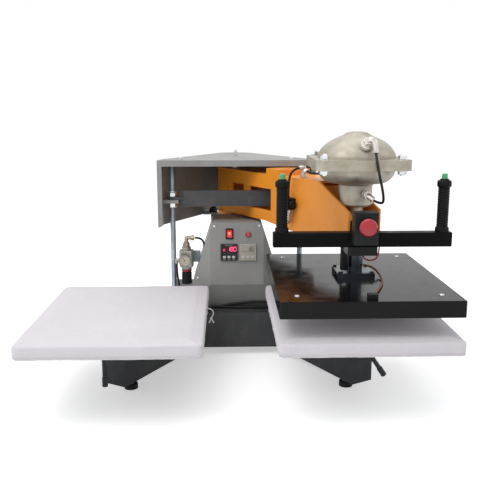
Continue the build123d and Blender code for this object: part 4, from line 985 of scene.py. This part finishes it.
# %% Gauge
nodes["regulator_bracket"].data.materials[0] = materials["thread_zinc"]
gauge_where = Matrix.Translation((-0.150, 0.092, 0.265)) @ Matrix.Rotation(math.pi / 2, 4, "X")
shape = bmesh.new()
turn_profile(shape, [
    (0.0, -0.001), (0.0050, -0.001), (0.0050, 0.0040), (0.0160, 0.0062), (0.0172, 0.0080),
    (0.0172, 0.0150), (0.0165, 0.0162), (0.0150, 0.0162), (0.0146, 0.0148), (0.0146, 0.0140),
], gauge_where, 48)
add("gauge_case", shape, "base", "gauge_face", "regulator_metal", replaces=("gauge",))
shape = bmesh.new()
turn_profile(shape, [(0.0148, 0.0138), (0.0147, 0.0141), (0, 0.0141)], gauge_where, 48)
add("gauge_dial", shape, "base", "gauge_face")
print("gauge rim", 2 * 17.2, "mm")

# %% Ticks and needle
ticks, tick_turn, needle_turn = 11, 27, 118
shape = bmesh.new()
for index in range(ticks):
    where = gauge_where @ Matrix.Rotation(math.radians(225 - index * tick_turn), 4, "Z")
    length = 0.0030 if index % 2 == 0 else 0.0018
    plate(shape, (0.0124, 0, 0.0143), (length, 0.0006, 0.0002), 0.00005, where)
needle_where = gauge_where @ Matrix.Rotation(math.radians(needle_turn), 4, "Z")
plate(shape, (0.0042, 0, 0.0147), (0.0130, 0.0008, 0.0003), 0.0001, needle_where)
turn_profile(shape, [(0, 0.0142), (0.0016, 0.0142), (0.0016, 0.0152), (0, 0.0154)], gauge_where, 16)
add("gauge_needle", shape, "base", "gauge_face", "ink_black")
print("gauge ticks", ticks)

# %% Knob ring and elbow
regulator_x, regulator_y = -0.146, 0.112
shape = bmesh.new()
turn_profile(shape, [
    (0.0130, 0), (0.0146, 0), (0.0150, 0.0008), (0.0150, 0.0030), (0.0146, 0.0038), (0.0130, 0.0038),
], Matrix.Translation((regulator_x, regulator_y, 0.2285)), 40)
add("knob_ring", shape, "regulator_knob", "knob_plastic", "ring_red")
shape = bmesh.new()
top = Matrix.Translation((regulator_x, regulator_y, 0.300))
nut(shape, top, 0.0098, 0.0110)
turn_profile(shape, [(0.0080, 0.011), (0.0080, 0.0125), (0.0062, 0.0130), (0.0062, 0.0150)], top, 24)
nut(shape, frame_at((-0.1315, 0.112, 0.326), (1, 0, 0)), 0.0082, 0.0085)
add("elbow_nuts", shape, "base", "brass_fitting", replaces=("brass_elbow",))
hose("elbow_body", [
    (regulator_x, regulator_y, 0.312), (regulator_x, regulator_y, 0.3255), (-0.1440, regulator_y, 0.3262),
    (-0.130, regulator_y, 0.326),
], 0.0056, "base", "brass_fitting")
print("regulator at", (regulator_x, regulator_y))

# %% [markdown]
# # Fittings and bolts of the actuator
# The actuator is two aluminium castings clamped by four bolts. A hose joins an elbow on the dome to
# one on the neck, and both threads are sealed with white tape. The elbows are bent tubes with
# hexagon collars, and the bolts get washers and the stud ends that a real clamp shows. These small
# bright parts are what makes the dull casting look real.

# %% Actuator elbows
port = at_head(7.0, -86.0, 613.0)
port_way = Vector((1.0, -20.0, 17.0))
shape = bmesh.new()
boss = [(0.0150, -0.010), (0.0150, -0.001), (0.0138, 0.001), (0.0100, 0.0012)]
turn_profile(shape, boss, frame_at(port, port_way), 32)
nut(shape, frame_at(Vector(port) + port_way.normalized() * 0.0035, port_way), 0.0115, 0.0070)
nut(shape, frame_at(at_head(24.0, -98.6, 597.0), (0.3, -4.5, -13.0)), 0.0078, 0.0060)
nut(shape, frame_at(at_head(17.0, -48.0, 493.0), (3, -13, 0)), 0.0105, 0.0070)
nut(shape, frame_at(at_head(27.0, -59.2, 484.7), (13, -9, -12)), 0.0075, 0.0060)
add("elbow_collars", shape, "arm", "brass_fitting", "nickel", replaces=("air_fittings",))
hose("dome_elbow", [
    port, at_head(7.8, -98.0, 623.5), at_head(22.5, -101.0, 619.0), at_head(24.0, -99.0, 594.5),
], 0.0066, "arm", "brass_fitting", finish="nickel")
hose("neck_elbow", [
    at_head(15.0, -39.5, 493), at_head(18.0, -56.0, 493.5), at_head(31.0, -62.0, 481.5),
], 0.0068, "arm", "brass_fitting", finish="nickel")
print("port of the dome", [round(value, 3) for value in port])

# %% Sealing tape
shape = bmesh.new()
dome_tape = [(0.0080, 0.0), (0.0100, 0.0004), (0.0101, 0.0030), (0.0080, 0.0036)]
neck_tape = [(0.0070, 0.0), (0.0092, 0.0004), (0.0093, 0.0046), (0.0070, 0.0052)]
turn_profile(shape, dome_tape, frame_at(port, port_way), 32)
turn_profile(shape, neck_tape, frame_at(at_head(15.4, -42.0, 493.0), (3, -13, 0)), 32)
add("sealing_tape", shape, "arm", "brass_fitting", "tape_white")
print("taped threads", 2)

# %% Tee on the arm
tee_x, tee_reach = -28, 398
tee = Matrix.Translation(at_arm(tee_x, tee_reach, 515))
shape = bmesh.new()
nut(shape, tee, 0.0092, 0.0110)
turn_profile(shape, [(0.0058, 0.011), (0.0058, 0.028), (0.0048, 0.0295), (0, 0.0295)], tee, 24)
way = Vector(at_arm(-44, tee_reach, 541)) - Vector(at_arm(tee_x, tee_reach, 541))
ahead = Vector(at_arm(tee_x, 414, 533)) - Vector(at_arm(tee_x, tee_reach, 533))
for start, direction in ((at_arm(tee_x, tee_reach, 541), way), (at_arm(tee_x, tee_reach, 533), ahead)):
    barb = frame_at(start, direction)
    profile = [(0.0054, 0.0)]
    for ring in range(3):
        low_z = ring * 0.003
        profile += [(0.0054, 0.006 + low_z), (0.0062, 0.0065 + low_z), (0.0050, 0.0088 + low_z)]
    turn_profile(shape, profile + [(0.0045, 0.016), (0, 0.016)], barb, 24)
add("arm_tee", shape, "arm", "brass_fitting", "nickel")
print("hose tails on the tee", 2)

# %% Silencer of the valve
silencer_x, silencer_reach = -64, 382
shape = bmesh.new()
profile = [(0, 0.3955), (0.0058, 0.3975), (0.0074, 0.4035)]
for ring in range(6):
    profile += [(0.0077, 0.4045 + ring * 0.003), (0.0072, 0.4060 + ring * 0.003)]
profile += [(0.0077, 0.4238), (0.0060, 0.4242), (0, 0.4242)]
turn_profile(shape, profile, Matrix.Translation(at_arm(silencer_x, silencer_reach, 0)), 28)
nut(shape, Matrix.Translation(at_arm(silencer_x, silencer_reach, 424)), 0.0086, 0.0090)
add("valve_silencer", shape, "arm", "brass_fitting", "nickel")
print("silencer grooves", 6)

# %% Flange bolts with washers
bolt_offset = 88
shape = bmesh.new()
for sx in (-1, 1):
    for sy in (-1, 1):
        spot = Matrix.Translation(at_head(sx * bolt_offset, sy * bolt_offset, 0))
        spot = spot @ Matrix.Rotation(0.5 + sx * 0.4 + sy * 0.2, 4, "Z")
        nut(shape, spot @ Matrix.Translation((0, 0, 0.578)), 0.0102, 0.0085)
        nut(shape, spot @ Matrix.Translation((0, 0, 0.5430)), 0.0102, 0.0078)
        for low_z in (0.576, 0.5505):
            washer(shape, spot, 0.004, 0.0120, low_z, 0.0016)
        turn_profile(shape, [(0.0050, 0.5805), (0.0050, 0.5885), (0.0042, 0.5897), (0, 0.5899)], spot, 20)
        turn_profile(shape, [(0, 0.5402), (0.0045, 0.5404), (0.0050, 0.5414), (0.0050, 0.5460)], spot, 20)
add("flange_hardware", shape, "arm", "zinc_steel", replaces=("flange_bolts",))
print("flange bolts", 4)

# %% [markdown]
# # Return spring
# Inside the bowl a coil spring lifts the platen when the air is let out. It is a round wire wound
# five times, so its mesh is a circle carried along a helix.

# %% Return spring
spring_low, spring_high, spring_radius, wire = 0.4700, 0.5650, 0.027, 0.0023
spring_steps, steps_per_turn = 120, 24
shape = bmesh.new()
rings = []
for step in range(spring_steps + 1):
    a = 2 * math.pi * step / steps_per_turn
    z = spring_low + (spring_high - spring_low) * (step / spring_steps)
    ring = []
    for corner in range(10):
        b = 2 * math.pi * corner / 10
        reach = spring_radius + wire * math.cos(b)
        x = head_x + reach * math.cos(a)
        y = head_y + reach * math.sin(a)
        ring.append(shape.verts.new((x, y, z + wire * math.sin(b))))
    rings.append(ring)
skin(shape, rings)
shape.faces.new(list(reversed(rings[0])))
shape.faces.new(rings[-1])
coil = add("coil_return_spring", shape, "arm", "spring_steel", replaces=("return_spring",))
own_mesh(coil)

# %% [markdown]
# # Small screws
# The control box is held by four small screws and the casing by four larger ones, all with domed
# heads, and the housing's deck shows two hexagon bolts. A dome and a cross of two thin bars show a
# screw well enough at this size; a cut recess would need many more faces for a mark less than a
# millimetre wide.


# %% Screw head
def cross_screw(shape, where, radius, height):
    """Domed screw head with a fine cross on it."""
    profile = [(radius, 0), (radius, height * 0.35), (radius * 0.86, height * 0.75)]
    profile += [(radius * 0.5, height * 0.97), (0, height)]
    turn_profile(shape, profile, where, 24)
    for quarter in (0, 1):
        turned = where @ Matrix.Rotation(quarter * math.pi / 2 + 0.4, 4, "Z")
        bar = (radius * 1.1, radius * 0.20, height * 0.12)
        plate(shape, (0, 0, height * 0.97), bar, radius * 0.04, turned)


print("screw heads can be drawn")

# %% Screws of the panel and bolts of the housing
wing_x, fold_x, wing_slope = 0.112, 0.076, 24 / 52
lean = math.atan(wing_slope)
screw_x, screw_z, wing_screw_z = 0.064, 0.367, 0.213
screw_size = (0.0036, 0.0021)
shape = bmesh.new()
for side in (-1, 1):
    cross_screw(shape, frame_at((side * screw_x, front_y, screw_z), (0, -1, 0)), *screw_size)
for side in (-1, 1):
    place = (side * wing_x, front_y + (wing_x - fold_x) * wing_slope, wing_screw_z)
    cross_screw(shape, frame_at(place, (side * math.sin(lean), -math.cos(lean), 0)), *screw_size)
for side in (-1, 1):
    where = Matrix.Translation((side * 0.158, 0.130, 0.551)) @ Matrix.Rotation(0.4, 4, "Z")
    nut(shape, where, 0.0055, 0.0040)
add("panel_screws", shape, "base", "zinc_steel", replaces=("housing_fasteners",))
print("panel screws", 4, "housing bolts", 2)

# %% Screws of the casing
casing_x, casing_y, casing_z = 158, 200, 291
shape = bmesh.new()
for sx in (-1, 1):
    for sy in (-1, 1):
        spot = Matrix.Translation(at_head(sx * casing_x, sy * casing_y, casing_z))
        cross_screw(shape, spot, 0.0056, 0.0026)
add("casing_screws", shape, "platen", "zinc_steel", replaces=("platen_screws",))
print("casing screws", 4)
